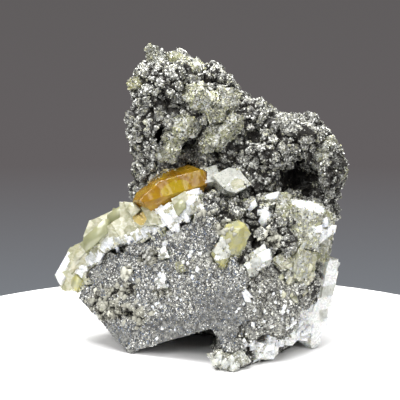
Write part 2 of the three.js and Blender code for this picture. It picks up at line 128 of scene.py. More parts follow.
@dataclass(frozen=True)
class Cells:
    """Space split into irregular cells of about one size, as clumps or scabs are."""

    size: float
    seed: int

    def at(self, points: np.ndarray) -> tuple[np.ndarray, np.ndarray, np.ndarray]:
        """Where places lie within their cells.

        Args:
            points: Places, one row each.

        Returns:
            The distance to the cell's middle and to the next one's, in cell sizes, and a number
            from 0 to 1 that is the cell's own.
        """
        spots = points / self.size
        home = np.floor(spots)
        near = np.full(len(points), 9.0)
        second = near.copy()
        own = np.zeros(len(points))
        for offset in np.ndindex(3, 3, 3):
            cell = home + np.array(offset) - 1
            middle = cell + np.stack([hashed(cell, self.seed + i) for i in range(3)], axis=1)
            away = np.linalg.norm(spots - middle, axis=1)
            closer = away < near
            second = np.where(closer, near, np.minimum(second, away))
            near = np.minimum(near, away)
            own[closer] = hashed(cell, self.seed + 3)[closer]
        return near, second, own

    def domes(self, points: np.ndarray, narrow: float = 0.14) -> tuple[np.ndarray, np.ndarray]:
        """Round clumps, one in each cell.

        Args:
            points: Places, one row each.
            narrow: How narrow the gaps between clumps are, in cell sizes.

        Returns:
            The clumps' height around 0, and how deep a place lies in a gap, from 0 to 1.
        """
        near, second, own = self.at(points)
        dome = np.sqrt(np.clip(1 - (near / 0.85) ** 2, 0, 1))
        return dome - 0.7 + 0.6 * (own - 0.5), np.exp(-(((second - near) / narrow) ** 2))


@dataclass(frozen=True)
class Cleavage:
    """The blocks that barite breaks into: a slanted grid of cells, each leaning its own way."""

    size: float
    lean: float = 0.12
    step: float = 0.12 * MM
    seed: int = 1
    along: Triple = (0.78, -0.2, 0.6)
    across: Triple = (-0.5, 0.3, 0.81)

    def grid(self) -> np.ndarray:
        """The three edges of one cell, one row each."""
        along = Vector(self.along).normalized()
        across = Vector(self.across).normalized()
        return np.array([along, across, along.cross(across).normalized()]) * self.size

    def cells(self, points: np.ndarray) -> tuple[np.ndarray, np.ndarray]:
        """The whole numbers of the cells that places are in, and the cells' middles."""
        cell = np.floor(points @ np.linalg.inv(self.grid()))
        return cell, (cell + 0.5) @ self.grid()

    def relief(self, points: np.ndarray) -> np.ndarray:
        """How far the broken face stands out at some places.

        Args:
            points: Places, one row each.

        Returns:
            Heights around 0.
        """
        cell, middle = self.cells(points)
        tilt = np.stack([hashed(cell, self.seed + i) - 0.5 for i in range(3)], axis=1) * 2 * self.lean
        step = (hashed(cell, self.seed + 5) - 0.6) * self.step
        return np.sum((points - middle) * tilt, axis=1) + step

    def pick(self, points: np.ndarray, odds: list[float]) -> np.ndarray:
        """Picks a tint for each cell by its odds, and gives the tint's number at each place."""
        limits = np.cumsum(odds) / np.sum(odds)
        return np.searchsorted(limits[:-1], hashed(self.cells(points)[0], self.seed + 6))


# Meshes

def unit(rows: np.ndarray) -> np.ndarray:
    """The directions of some vectors, one row each, all with length 1."""
    return rows / np.linalg.norm(rows, axis=1)[:, None]


def read(items: bpy_prop_collection, what: str, width: int = 1, kind: type = float) -> np.ndarray:
    """Reads a property of all the vertices, edges or faces of a mesh.

    Args:
        items: The vertices, edges or faces.
        what: The property's name.
        width: How many numbers each of them has.
        kind: The type of these numbers.

    Returns:
        One row for each, or one number for each where the width is 1.
    """
    values = np.empty(len(items) * width, dtype=kind)
    items.foreach_get(what, values)
    return values.reshape(-1, width) if width > 1 else values


def corners_of(mesh: Mesh) -> np.ndarray:
    """The vertices of a mesh, one row each."""
    return read(mesh.vertices, "co", 3)


def outward_of(mesh: Mesh) -> np.ndarray:
    """The unit normals at the vertices of a mesh, one row each."""
    return read(mesh.vertex_normals, "vector", 3)


def middles_of(mesh: Mesh) -> np.ndarray:
    """The middles of the faces of a mesh, one row each."""
    return read(mesh.polygons, "center", 3)


def set_corners(mesh: Mesh, places: np.ndarray) -> None:
    """Moves the vertices of a mesh, and keeps them above the table.

    Args:
        mesh: The mesh to change.
        places: One row of three for each vertex.
    """
    lifted = places.copy()
    lifted[:, 2] = np.maximum(lifted[:, 2], 0.0)
    mesh.vertices.foreach_set("co", lifted.astype(np.float32).ravel())
    mesh.update()


def set_slots(mesh: Mesh, slots: np.ndarray) -> None:
    """Gives every face of a mesh the material slot with its number."""
    mesh.polygons.foreach_set("material_index", slots.astype(np.int32))


def mesh_from(name: str, places: np.ndarray, faces: np.ndarray, slots: np.ndarray) -> Mesh:
    """Makes a mesh of triangles from arrays.

    Args:
        name: Name of the mesh.
        places: One row of three for each vertex.
        faces: One row of three vertex numbers for each triangle.
        slots: The material slot of each triangle.

    Returns:
        The new mesh.
    """
    mesh = bpy.data.meshes.new(name)
    mesh.vertices.add(len(places))
    mesh.loops.add(faces.size)
    mesh.loops.foreach_set("vertex_index", faces.astype(np.int32).ravel())
    mesh.polygons.add(len(faces))
    mesh.polygons.foreach_set("loop_start", np.arange(0, faces.size, 3, dtype=np.int32))
    mesh.polygons.foreach_set("loop_total", np.full(len(faces), 3, dtype=np.int32))
    set_slots(mesh, slots)
    set_corners(mesh, places)
    mesh.update(calc_edges=True)
    return mesh


def add_to_scene(thing: Object) -> None:
    """Puts an object in the scene."""
    bpy.context.scene.collection.objects.link(thing)


def place_piece(name: str, mesh: Mesh, finishes: list[Material]) -> Object:
    """Puts a mesh in the scene as a piece of the specimen.

    Args:
        name: Name of the piece.
        mesh: Its mesh.
        finishes: Its materials, one for each slot.

    Returns:
        The new object.
    """
    slots = read(mesh.polygons, "material_index", kind=np.int32)
    mesh.materials.clear()
    for finish in finishes:
        mesh.materials.append(finish)
    set_slots(mesh, slots)
    piece = bpy.data.objects.new(name, mesh)
    add_to_scene(piece)
    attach(piece, "root")
    return piece


BLOCK = [[0, 1, 5], [0, 5, 4], [1, 2, 6], [1, 6, 5], [2, 3, 7], [2, 7, 6],
         [3, 0, 4], [3, 4, 7], [4, 5, 6], [4, 6, 7], [0, 2, 1], [0, 3, 2]]


def place_blocks(name: str, blocks: list[np.ndarray], picks: list[int], finishes: list[Material]) -> Object:
    """Joins small blocks as one piece.

    Args:
        name: Name of the piece.
        blocks: The eight corners of each block, those of one end first.
        picks: The number of each block's material.
        finishes: The materials.

    Returns:
        The new object.
    """
    faces = np.concatenate([np.array(BLOCK) + 8 * i for i in range(len(blocks))])
    mesh = mesh_from(name, np.concatenate(blocks), faces, np.repeat(picks, len(BLOCK)))
    LOG.info("%s: %d blocks", name, len(blocks))
    return place_piece(name, mesh, finishes)


def surface_tree(pieces: list[Object]) -> BVHTree:
    """A search tree over the surfaces of some pieces together.

    Args:
        pieces: Objects whose meshes lie in the specimen's own frame.

    Returns:
        The tree.
    """
    places: list[Vector] = []
    faces: list[list[int]] = []
    for piece in pieces:
        start = len(places)
        places += [vertex.co.copy() for vertex in piece.data.vertices]
        faces += [[start + i for i in polygon.vertices] for polygon in piece.data.polygons]
    return BVHTree.FromPolygons(places, faces)


def distance_to(tree: BVHTree, points: np.ndarray, reach: float) -> np.ndarray:
    """How far points are from a surface, and reach wherever it is further away."""
    found = (tree.find_nearest(Vector(point), reach)[3] for point in points)
    return np.array([reach if away is None else away for away in found])


@dataclass
class Surface:
    """The triangles of a mesh as arrays, on which small pieces can be scattered."""

    mesh: Mesh
    corners: list[np.ndarray] = field(init=False)
    slots: np.ndarray = field(init=False)
    polygons: np.ndarray = field(init=False)

    def __post_init__(self) -> None:
        """Reads the triangles."""
        self.mesh.calc_loop_triangles()
        triangles = self.mesh.loop_triangles
        faces = read(triangles, "vertices", 3, np.int32)
        self.slots = read(triangles, "material_index", kind=np.int32)
        self.polygons = read(triangles, "polygon_index", kind=np.int32)
        places = corners_of(self.mesh)
        self.corners = [places[faces[:, i]] for i in range(3)]

    def middles(self) -> np.ndarray:
        """The middles of the triangles, one row each."""
        return sum(self.corners) / 3

    def cross(self) -> np.ndarray:
        """The outward directions of the triangles, each as long as twice its area."""
        a, b, c = self.corners
        return np.cross(b - a, c - a)

    def scatter(self, density: float, weight: np.ndarray, draw: Generator) -> tuple[np.ndarray, ...]:
        """Draws spots, more of them where the weight is high.

        Args:
            density: Spots for each square millimetre of full weight.
            weight: How much each triangle takes, from 0 to 1.
            draw: The source of random numbers.

        Returns:
            The spots, the outward directions there and the numbers of the polygons that they are on.
        """
        cross = self.cross()
        twice = np.linalg.norm(cross, axis=1)
        chance = twice * weight
        count = int(density * chance.sum() / 2 / MM**2)
        if not count:
            return np.zeros((0, 3)), np.zeros((0, 3)), np.zeros(0, dtype=np.int32)
        picked = draw.choice(len(chance), count, p=chance / chance.sum())
        u, v = draw.random((2, count))
        flip = u + v > 1
        u[flip], v[flip] = 1 - u[flip], 1 - v[flip]
        a, b, c = (corner[picked] for corner in self.corners)
        spots = a + u[:, None] * (b - a) + v[:, None] * (c - a)
        return spots, (cross / np.maximum(twice, 1e-15)[:, None])[picked], self.polygons[picked]


# Finishes

def node(tree: NodeTree, kind: str, **inputs: object) -> Node:
    """Adds a shader node and sets its inputs.

    Args:
        tree: The material's node tree.
        kind: The node's type.
        **inputs: Values by input name, with underscores for spaces.

    Returns:
        The new node.
    """
    made = tree.nodes.new(kind)
    for name, value in inputs.items():
        made.inputs[name.replace("_", " ")].default_value = value
    return made


def noise_node(tree: NodeTree, stretch: Triple, turn: Triple, **inputs: float) -> Node:
    """Adds noise that stays put on the piece.

    Args:
        tree: The material's node tree.
        stretch: How much finer the noise is along each axis.
        turn: How these axes are turned, in radians.
        **inputs: The noise's own values by input name.

    Returns:
        The noise node.
    """
    place = node(tree, "ShaderNodeTexCoord")
    turned = node(tree, "ShaderNodeMapping", Scale=stretch, Rotation=turn)
    noise = node(tree, "ShaderNodeTexNoise", **inputs)
    tree.links.new(place.outputs["Object"], turned.inputs["Vector"])
    tree.links.new(turned.outputs["Vector"], noise.inputs["Vector"])
    return noise


def rgba(colour: Triple) -> tuple[float, float, float, float]:
    """A colour with full cover."""
    return (*colour, 1.0)


def link_ramp(tree: NodeTree, source: NodeSocket, target: NodeSocket,
              stops: list[tuple[float, Triple]]) -> None:
    """Turns a value into a colour.

    Args:
        tree: The node tree.
        source: Where the value comes from.
        target: Where the colour goes.
        stops: The value and the colour at the first, the last and any further stops.
    """
    ramp = node(tree, "ShaderNodeValToRGB")
    elements = ramp.color_ramp.elements
    for number, (level, colour) in enumerate(stops):
        stop = elements[number] if number < 2 else elements.new(level)
        stop.position = level
        stop.color = rgba(colour)
    tree.links.new(source, ramp.inputs["Fac"])
    tree.links.new(ramp.outputs["Color"], target)


@dataclass(frozen=True)
class Grain:
    """Fine noise in a finish, which drives its gloss and its relief."""

    size: float
    gloss: Pair
    relief: float = 0.0
    depth: float = 0.1 * MM
    stretch: Triple = (1.0, 1.0, 1.0)
    turn: Triple = (0.3, 0.5, 0.6)

    def add(self, tree: NodeTree) -> Node:
        """Adds the noise to a material and links it to the shader's roughness and normal.

        Args:
            tree: The material's node tree.

        Returns:
            The noise node.
        """
        shader = tree.nodes["Principled BSDF"]
        noise = noise_node(tree, self.stretch, self.turn, Scale=1 / self.size, Detail=4.0, Roughness=0.6)
        gloss = node(tree, "ShaderNodeMapRange", From_Min=0.35, From_Max=0.65,
                     To_Min=self.gloss[0], To_Max=self.gloss[1])
        tree.links.new(noise.outputs["Fac"], gloss.inputs["Value"])
        tree.links.new(gloss.outputs["Result"], shader.inputs["Roughness"])
        if self.relief:
            bump = node(tree, "ShaderNodeBump", Strength=self.relief, Distance=self.depth)
            tree.links.new(noise.outputs["Fac"], bump.inputs["Height"])
            tree.links.new(bump.outputs["Normal"], shader.inputs["Normal"])
        return noise


def new_material(name: str) -> tuple[Material, NodeTree, Node]:
    """Starts a material.

    Args:
        name: Its name.

    Returns:
        The material, its node tree and its shader.
    """
    material = bpy.data.materials.new(name)
    material.use_nodes = True
    return material, material.node_tree, material.node_tree.nodes["Principled BSDF"]


@dataclass(frozen=True)
class DruseFinish:
    """The glint of one shade of druse crystal."""

    name: str
    colour: Triple
    metallic: float
    gloss: Pair = (0.12, 0.38)

    def make(self) -> Material:
        """Builds the material, whose gloss varies over its fine grain."""
        material, tree, shader = new_material(self.name)
        shader.inputs["Base Color"].default_value = rgba(self.colour)
        shader.inputs["Metallic"].default_value = self.metallic
        Grain(0.3 * MM, self.gloss, 0.15, 0.05 * MM).add(tree)
        return material


@dataclass(frozen=True)
class GroundFinish:
    """The dull ground between the druse crystals, or the pale bed under the barite."""

    name: str
    dark: Triple
    light: Triple
    metallic: float = 0.2

    def make(self) -> Material:
        """Builds the material, mottled between two colours and with a fine bump."""
        material, tree, shader = new_material(self.name)
        shader.inputs["Metallic"].default_value = self.metallic
        noise = Grain(1.1 * MM, (0.5, 0.75), 0.7, 0.2 * MM).add(tree)
        stops = [(0.4, self.dark), (0.62, self.light)]
        link_ramp(tree, noise.outputs["Fac"], shader.inputs["Base Color"], stops)
        return material


@dataclass(frozen=True)
class BariteFinish:
    """Translucent barite: its colours, how much light passes, its gloss and its relief."""

    name: str
    colour: Triple
    through: float
    gloss: Pair
    soft: float = 0.0
    relief: float = 0.3
    second: Triple | None = None
    zone: float = 5 * MM

    def make(self) -> Material:
        """Builds the material, with growth zones where it has a second colour, and fine streaks."""
        material, tree, shader = new_material(self.name)
        shader.inputs["Base Color"].default_value = rgba(self.colour)
        if self.second:
            zones = noise_node(tree, (1.0, 1.0, 1.6), (0.2, 0.9, 0.1), Scale=1 / self.zone, Detail=2.0,
                               Roughness=0.5, Distortion=0.8)
            stops = [(0.4, self.colour), (0.6, self.second)]
            link_ramp(tree, zones.outputs["Fac"], shader.inputs["Base Color"], stops)
        shader.inputs["IOR"].default_value = BARITE_IOR
        shader.inputs["Transmission Weight"].default_value = self.through
        shader.inputs["Subsurface Weight"].default_value = self.soft
        shader.inputs["Subsurface Radius"].default_value = (1.0, 0.85, 0.6)
        shader.inputs["Subsurface Scale"].default_value = 1.5 * MM
        Grain(0.7 * MM, self.gloss, self.relief, 0.12 * MM, (1.0, 0.3, 1.0)).add(tree)
        return material


class Shade(Enum):
    """The shades of the druse's small crystals."""

    BLUISH = DruseFinish("druse_bluish", (0.13, 0.165, 0.24), 0.45)
    GREY = DruseFinish("druse_grey", (0.42, 0.42, 0.39), 0.45)
    SILVER = DruseFinish("druse_silver", (0.72, 0.73, 0.69), 0.5)
    DARK = DruseFinish("druse_dark", (0.07, 0.07, 0.068), 0.4, (0.2, 0.45))
    OLIVE = DruseFinish("druse_olive", (0.36, 0.355, 0.26), 0.2, (0.25, 0.5))
    BRIGHT = DruseFinish("druse_bright", (0.9, 0.9, 0.86), 0.1, (0.15, 0.4))
    BEIGE = DruseFinish("crust_beige", (0.34, 0.335, 0.28), 0.0, (0.45, 0.7))
    UMBER = DruseFinish("crust_umber", (0.17, 0.16, 0.125), 0.0, (0.5, 0.8))
    CREAM = DruseFinish("crust_cream", (0.58, 0.575, 0.49), 0.0, (0.35, 0.6))
    LEMON = DruseFinish("druse_lemon", (0.52, 0.51, 0.31), 0.0, (0.2, 0.5))


def odds(**shares: float) -> dict[Shade, float]:
    """How often some shades come, by their names."""
    return {Shade[name]: share for name, share in shares.items()}


class Mix(Enum):
    """How often each shade comes in a part of the druse."""

    FACE = odds(GREY=3, SILVER=3.4, DARK=5.2, BLUISH=2.4, BRIGHT=2.2, CREAM=0.6)
    SMOOTH = odds(BLUISH=5.5, DARK=10, SILVER=0.7, BRIGHT=1.1)
    CRUST = odds(BEIGE=6, UMBER=1.6, CREAM=1.8, GREY=2, DARK=0.4)
    UPPER = odds(GREY=4.4, SILVER=4, DARK=2.4, OLIVE=3, BRIGHT=1.2, CREAM=0.4)
    PALE = odds(SILVER=4, BRIGHT=1.6, CREAM=2, GREY=3.4, DARK=0.8, BEIGE=2)
    RIGHT = odds(SILVER=3.4, GREY=4, BEIGE=2.4, CREAM=1.6, BRIGHT=1.2, DARK=2.4)
    DUSTED = odds(OLIVE=3, CREAM=2, GREY=3.6, LEMON=1.6, SILVER=2.4, DARK=0.8)
    VEILED = odds(OLIVE=3.8, GREY=3.6, SILVER=1.8, LEMON=1.4, DARK=2.4, CREAM=0.4)
    # Painted shade: dark crystals for gaps, hollows and cracks.
    SHADE = odds(DARK=7, UMBER=2, OLIVE=1.2, GREY=1.6)


class Tint(Enum):
    """The tints of barite on the specimen."""

    GOLDEN = BariteFinish("golden_barite", (0.68, 0.42, 0.02), 0.6, (0.04, 0.14), 0.1, 0.15,
                          (0.54, 0.27, 0.015))
    SUNNY = BariteFinish("sunny_barite", (0.74, 0.52, 0.02), 0.6, (0.04, 0.14), 0.1, 0.15)
    AMBER = BariteFinish("amber_barite", (0.54, 0.29, 0.025), 0.6, (0.04, 0.16), 0.12, 0.15)
    HONEY = BariteFinish("honey_barite", (0.8, 0.62, 0.22), 0.4, (0.08, 0.3), 0.25)
    PALE = BariteFinish("pale_barite", (0.78, 0.76, 0.6), 0.4, (0.06, 0.25), 0.3, 0.5,
                        (0.52, 0.52, 0.34), 2 * MM)
    GREENISH = BariteFinish("greenish_barite", (0.5, 0.51, 0.3), 0.5, (0.06, 0.25), 0.2, 0.5)
    FROSTED = BariteFinish("frosted_barite", (0.54, 0.55, 0.49), 0.3, (0.25, 0.55), 0.3, 0.5,
                           (0.7, 0.71, 0.66), 1.4 * MM)
    YELLOW = BariteFinish("yellow_barite", (0.7, 0.66, 0.26), 0.5, (0.06, 0.25), 0.1, 0.2,
                          (0.56, 0.56, 0.34), 3 * MM)
    WHITE = BariteFinish("white_barite", (0.94, 0.95, 0.93), 0.2, (0.12, 0.4), 0.4)
    OLIVE = BariteFinish("olive_barite", (0.3, 0.3, 0.22), 0.4, (0.2, 0.5), 0.3)
    CLEAR = BariteFinish("clear_barite", (0.72, 0.74, 0.68), 0.6, (0.06, 0.2))


@dataclass
class Palette:
    """The materials that the pieces share, each made once."""

    made: dict[str, Material] = field(default_factory=dict)

    def material(self, finish: DruseFinish | GroundFinish | BariteFinish) -> Material:
        """The material of a finish.

        Args:
            finish: The finish.

        Returns:
            Its material, which is made the first time that it is asked for.
        """
        if finish.name not in self.made:
            self.made[finish.name] = finish.make()
        return self.made[finish.name]

    def all(self, choices: list[Enum]) -> list[Material]:
        """The materials of some shades, tints or grounds."""
        return [self.material(choice.value) for choice in choices]


# Where things are

@dataclass(frozen=True)
class Sight:
    """Where the camera stands, so that a place in the picture can be found on the specimen."""

    aim: Triple = (-0.905 * MM, -1.472 * MM, 42 * MM)
    distance: float = 650 * MM
    elevation: float = 12.5
    width: float = 112 * MM
    pixels: int = 400

    def forward(self) -> Vector:
        """The direction in which the camera looks."""
        tilt = math.radians(self.elevation)
        return Vector((0.0, math.cos(tilt), -math.sin(tilt)))

    def upward(self) -> Vector:
        """The direction that is up in the picture."""
        tilt = math.radians(self.elevation)
        return Vector((0.0, math.sin(tilt), math.cos(tilt)))

    def eye(self) -> Vector:
        """The camera's place."""
        return Vector(self.aim) - self.forward() * self.distance

    def way(self, column: float, row: float) -> Vector:
        """The direction that a place in the picture is seen in.

        Args:
            column: Pixels from the picture's left edge.
            row: Pixels from its top edge.

        Returns:
            The unit direction from the camera.
        """
        scale = self.width / self.pixels
        aside = Vector((1.0, 0.0, 0.0)) * (column - self.pixels / 2) * scale
        above = self.upward() * (self.pixels / 2 - row) * scale
        return (self.forward() * self.distance + aside + above).normalized()

    def seen(self, points: np.ndarray) -> tuple[np.ndarray, np.ndarray]:
        """Where places are seen in the picture.

        Args:
            points: Places, one row each.

        Returns:
            Their columns and rows, in pixels.
        """
        away = points - np.array(self.eye())
        scale = self.distance / (away @ np.array(self.forward())) * self.pixels / self.width
        above = away @ np.array(self.upward())
        return self.pixels / 2 + away[:, 0] * scale, self.pixels / 2 - above * scale


SIGHT = Sight()


@dataclass(frozen=True)
class Patch:
    """A patch of the front, given by where it is seen in the picture, with a ragged edge."""

    column: float
    row: float
    wide: float
    high: float
    slant: float = 0.0
    ragged: float = 0.35
    seed: int = 1
    farthest: float = 14 * MM

    def share(self, points: np.ndarray) -> np.ndarray:
        """How much places belong to the patch, from 0 to 1."""
        columns, rows = SIGHT.seen(points)
        turn = math.radians(self.slant)
        aside, above = columns - self.column, self.row - rows
        along = (aside * math.cos(turn) + above * math.sin(turn)) / self.wide
        across = (above * math.cos(turn) - aside * math.sin(turn)) / self.high
        edge = 1 - np.hypot(along, across) + self.ragged * Cloud(3 * MM, self.seed, 2).at(points)
        return np.clip(3 * edge, 0, 1) * (points[:, 1] < self.farthest)


def patches(*rows: tuple[float, ...]) -> list[Patch]:
    """Patches, each from a row of its values in the order of the class."""
    return [Patch(*row) for row in rows]


def joined_share(joined: list[Patch], points: np.ndarray) -> np.ndarray:
    """How much places belong to any of some patches, from 0 to 1."""
    return np.max([patch.share(points) for patch in joined], axis=0)


@dataclass(frozen=True)
class Flat:
    """The flat front left face of the lower block, as a plane in the specimen's frame."""

    normal: Triple = (-0.532, -1.0, 0.15)
    through: Triple = (-20.505 * MM, -10.972 * MM, 0.0)
    highest: float = 47 * MM

    def share(self, points: np.ndarray) -> np.ndarray:
        """How much places belong to the face, from 0 to 1."""
        way = np.array(self.normal) / np.linalg.norm(self.normal)
        close = np.clip(2.2 - np.abs((points - np.array(self.through)) @ way) / MM, 0, 1)
        return close * np.clip((self.highest - points[:, 2]) / (3 * MM), 0, 1)


CRUSTS = patches(
    (104, 306, 19, 15, -20, 0.45, 2), (124, 290, 20, 8, 10, 0.5, 3), (134, 314, 14, 11, -30, 0.5, 4),
    (126, 273, 8, 6, 20, 0.4, 5), (150, 258, 16, 7, 0, 0.6, 6), (160, 292, 12, 6, 0, 0.6, 7),
    (273, 239, 11, 10, 0, 0.4, 8), (223, 229, 10, 9, 0, 0.4, 9))
SMOOTH = patches((224, 312, 38, 26, -10, 0.25, 11), (118, 336, 18, 12, -30, 0.3, 12),
                 (175, 330, 40, 14, 5, 0.3, 13))
DULL = patches((275, 272, 18, 8, 0, 0.4, 14), (255, 300, 14, 9, 0, 0.5, 15))
PALE_SPOTS = patches(
    (92, 330, 12, 4, -50, 0.3, 21), (118, 350, 12, 3, -35, 0.3, 22), (205, 262, 16, 9, 0, 0.6, 23),
    (262, 345, 22, 8, 15, 0.5, 24), (300, 300, 14, 12, 0, 0.5, 25), (232, 358, 16, 12, 0, 0.4, 26),
    (262, 215, 9, 10, 0, 0.4, 27), (180, 238, 14, 6, 30, 0.5, 28))
OLIVE_SPOTS = patches((300, 222, 26, 18, -10, 0.4, 31), (265, 201, 24, 5, 8, 0.3, 32),
                      (302, 262, 18, 22, 10, 0.4, 33))
VUG_REACH = 30 * MM
# Hollows: the skin is pushed in there, and shade is painted with near-black ground and dark crystals.
HOLLOWS_WITH_PAINTED_SHADE = patches(
    (299, 180, 21, 12, -8, 0.3, 41, VUG_REACH), (253, 137, 10, 8, -30, 0.3, 42, VUG_REACH),
    (162, 138, 8, 10, -40, 0.3, 43, VUG_REACH), (280, 256, 7, 5, 0, 0.2, 44), (256, 242, 5, 6, 0, 0.2, 45))
CALM = patches((276, 304, 50, 46, 0, 0.2, 50))
FILLS = patches((133, 243, 24, 7, 26, 0.3, 56), (110, 254, 12, 7, 38, 0.3, 57), (157, 235, 9, 5, 14, 0.3, 58),
                (196, 157, 22, 8, 0, 0.25, 54), (296, 128, 10, 8, 0, 0.2, 55))
# Ridges: the skin is raised there, and light is painted with paler crystals where the ridges catch it.
RIDGES_WITH_PAINTED_LIGHT = patches((262, 154, 26, 9, -16, 0.3, 51), (292, 128, 26, 12, -10, 0.35, 52))


# The mass

class Ground(Enum):
    """What the skin shows between the small crystals, in the order of its material slots. The near-black gap
    ground is painted shade in gaps between clumps, in hollows and in cracks.
    """

    DRUSE = GroundFinish("druse_ground", (0.08, 0.08, 0.076), (0.26, 0.26, 0.24))
    BED = GroundFinish("barite_bed", (0.5, 0.42, 0.2), (0.86, 0.78, 0.5), 0.0)
    # Painted shade: near-black ground where the skin lies deep in a gap, a hollow or a crack.
    GAP = GroundFinish("druse_gap", (0.012, 0.011, 0.01), (0.04, 0.036, 0.03))
    CRUST = GroundFinish("crust_ground", (0.14, 0.135, 0.105), (0.3, 0.295, 0.24), 0.0)


@dataclass
class DruseSkin:
    """The rough skin of the mass, made from its solid."""

    palette: Palette
    voxel: float = 0.53 * MM
    rounding: int = 2
    clump: Cells = Cells(3.7 * MM, 5)
    clump_height: float = 2.3 * MM
    lump: Cells = Cells(1.7 * MM, 9)
    lump_height: float = 0.7 * MM
    gap_depth: float = 0.9 * MM
    scab: Cells = Cells(3.2 * MM, 15)
    scab_height: float = 1.5 * MM
    hollow_depth: float = 3.2 * MM
    ridge_height: float = 1.4 * MM
    fill_height: float = 3.0 * MM
    seat: float = 1.3 * MM
    clear: float = 0.3 * MM
    foot: float = 1.5 * MM
    under: float = 14 * MM
    bed: float = 0.5 * MM
    # How deep a face must lie before shade is painted on it with the gap ground.
    painted_shade_from: float = 0.42
    # Where shade is painted on the skin's faces, by how deep they lie in a gap, a hollow or a crack.
    deep: np.ndarray = field(default_factory=lambda: np.zeros(0))

    def remeshed(self, source: Object) -> Mesh:
        """Copies the solid as an even mesh of small faces.

        Args:
            source: The solid's object.

        Returns:
            The new mesh.
        """
        rough = bpy.data.objects.new("skin_work", source.data.copy())
        add_to_scene(rough)
        remesh = rough.modifiers.new("even", "REMESH")
        remesh.mode = "VOXEL"
        remesh.voxel_size = self.voxel
        shown = rough.evaluated_get(bpy.context.evaluated_depsgraph_get())
        mesh = bpy.data.meshes.new_from_object(shown)
        bpy.data.objects.remove(rough)
        return mesh

    def rounded(self, mesh: Mesh) -> None:
        """Softens the facets of the solid.

        Args:
            mesh: The mesh to change.
        """
        ends = read(mesh.edges, "vertices", 2, np.int32)
        one, two = ends.T
        places = corners_of(mesh)
        count = np.maximum(np.bincount(ends.ravel(), minlength=len(places)), 1)
        for _ in range(self.rounding):
            total = [np.bincount(one, places[two, axis], len(places))
                     + np.bincount(two, places[one, axis], len(places)) for axis in range(3)]
            places = 0.5 * places + 0.5 * np.stack(total, axis=1) / count[:, None]
        set_corners(mesh, places)

    def relief(self, points: np.ndarray) -> tuple[np.ndarray, np.ndarray]:
        """How far the skin stands out of the solid.

        Args:
            points: Places, one row each.

        Returns:
            The heights, and how deep each place lies in a gap between clumps, a hollow or a crack, from 0 to
            1, which sets where shade is painted.
        """
        flat = np.maximum(Flat().share(points), 0.75 * joined_share(CALM, points))
        crust = flat * joined_share(CRUSTS, points)
        wavy = points + 0.6 * MM * np.stack([Cloud(2 * MM, 3 + i).at(points) for i in range(3)], axis=1)
        clumps, clump_gap = self.clump.domes(wavy)
        lumps, lump_gap = self.lump.domes(wavy, 0.2)
        near, second, own = self.scab.at(wavy)
        crack = np.exp(-(((second - near) / 0.12) ** 2))
        rough = self.clump_height * clumps + self.lump_height * lumps - self.gap_depth * clump_gap
        calm = self.lump_height * 0.75 * lumps + 0.35 * MM * Cloud(6 * MM, 33, 3).at(points)
        hollow, fill = joined_share(HOLLOWS_WITH_PAINTED_SHADE, points), joined_share(FILLS, points)
        height = (1 - flat) * rough + flat * calm + crust * self.scab_height * (own - 0.2 - crack)
        height += self.ridge_height * joined_share(RIDGES_WITH_PAINTED_LIGHT, points) + self.fill_height * fill
        height -= self.hollow_depth * hollow
        # Where shade is painted: gaps between clumps and hollows, faint lump gaps on the flat face, and the
        # crust's cracks.
        deep = np.maximum(clump_gap * (1 - fill), 0.75 * hollow) * (1 - flat) + 0.28 * flat * lump_gap
        return height, np.maximum(deep, crust * crack)

    def build(self, source: Object, crystals: BVHTree, golden: BVHTree) -> Object:
        """Makes the skin and hides the solid that it stands for.

        Args:
            source: The solid of the mass.
            crystals: The surfaces of the barite pieces that the druse hasn't grown over.
            golden: The surface of the golden crystal, which stays clear of small crystals.

        Returns:
            The skin.
        """
        mesh = self.remeshed(source)
        self.rounded(mesh)
        places, middles = corners_of(mesh), middles_of(mesh)
        height, _ = self.relief(places)
        near = distance_to(crystals, places, self.seat)
        height *= np.clip((near - self.clear) / (self.seat - self.clear), 0, 1)
        height *= np.clip((places[:, 2] - self.clear) / self.foot, 0, 1)
        under = (outward_of(mesh)[:, 2] < -0.35) & (places[:, 2] < self.under)
        height = np.where(under, 0.25 * height - self.clear * (places[:, 2] > MM), height)
        self.deep = self.relief(middles)[1]
        set_corners(mesh, places + outward_of(mesh) * height[:, None])
        beds = distance_to(golden, middles, self.seat) < self.bed
        crusty = joined_share(CRUSTS, middles) > 0.5
        numbers = {ground: number for number, ground in enumerate(Ground)}
        picks = [numbers[ground] for ground in (Ground.BED, Ground.GAP, Ground.CRUST)]
        # Faces deep in gaps, hollows and cracks get the painted-shade gap ground.
        set_slots(mesh, np.select([beds, self.deep > self.painted_shade_from, crusty], picks, numbers[Ground.DRUSE]))
        skin = place_piece("matrix_skin", mesh, self.palette.all(list(Ground)))
        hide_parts("matrix")
        return skin


# Few crystals grow on the painted-shade gap ground, so its dark shows, and none grow on the bed.
GROUND_COVER = {Ground.GAP: 0.12, Ground.BED: 0.0}


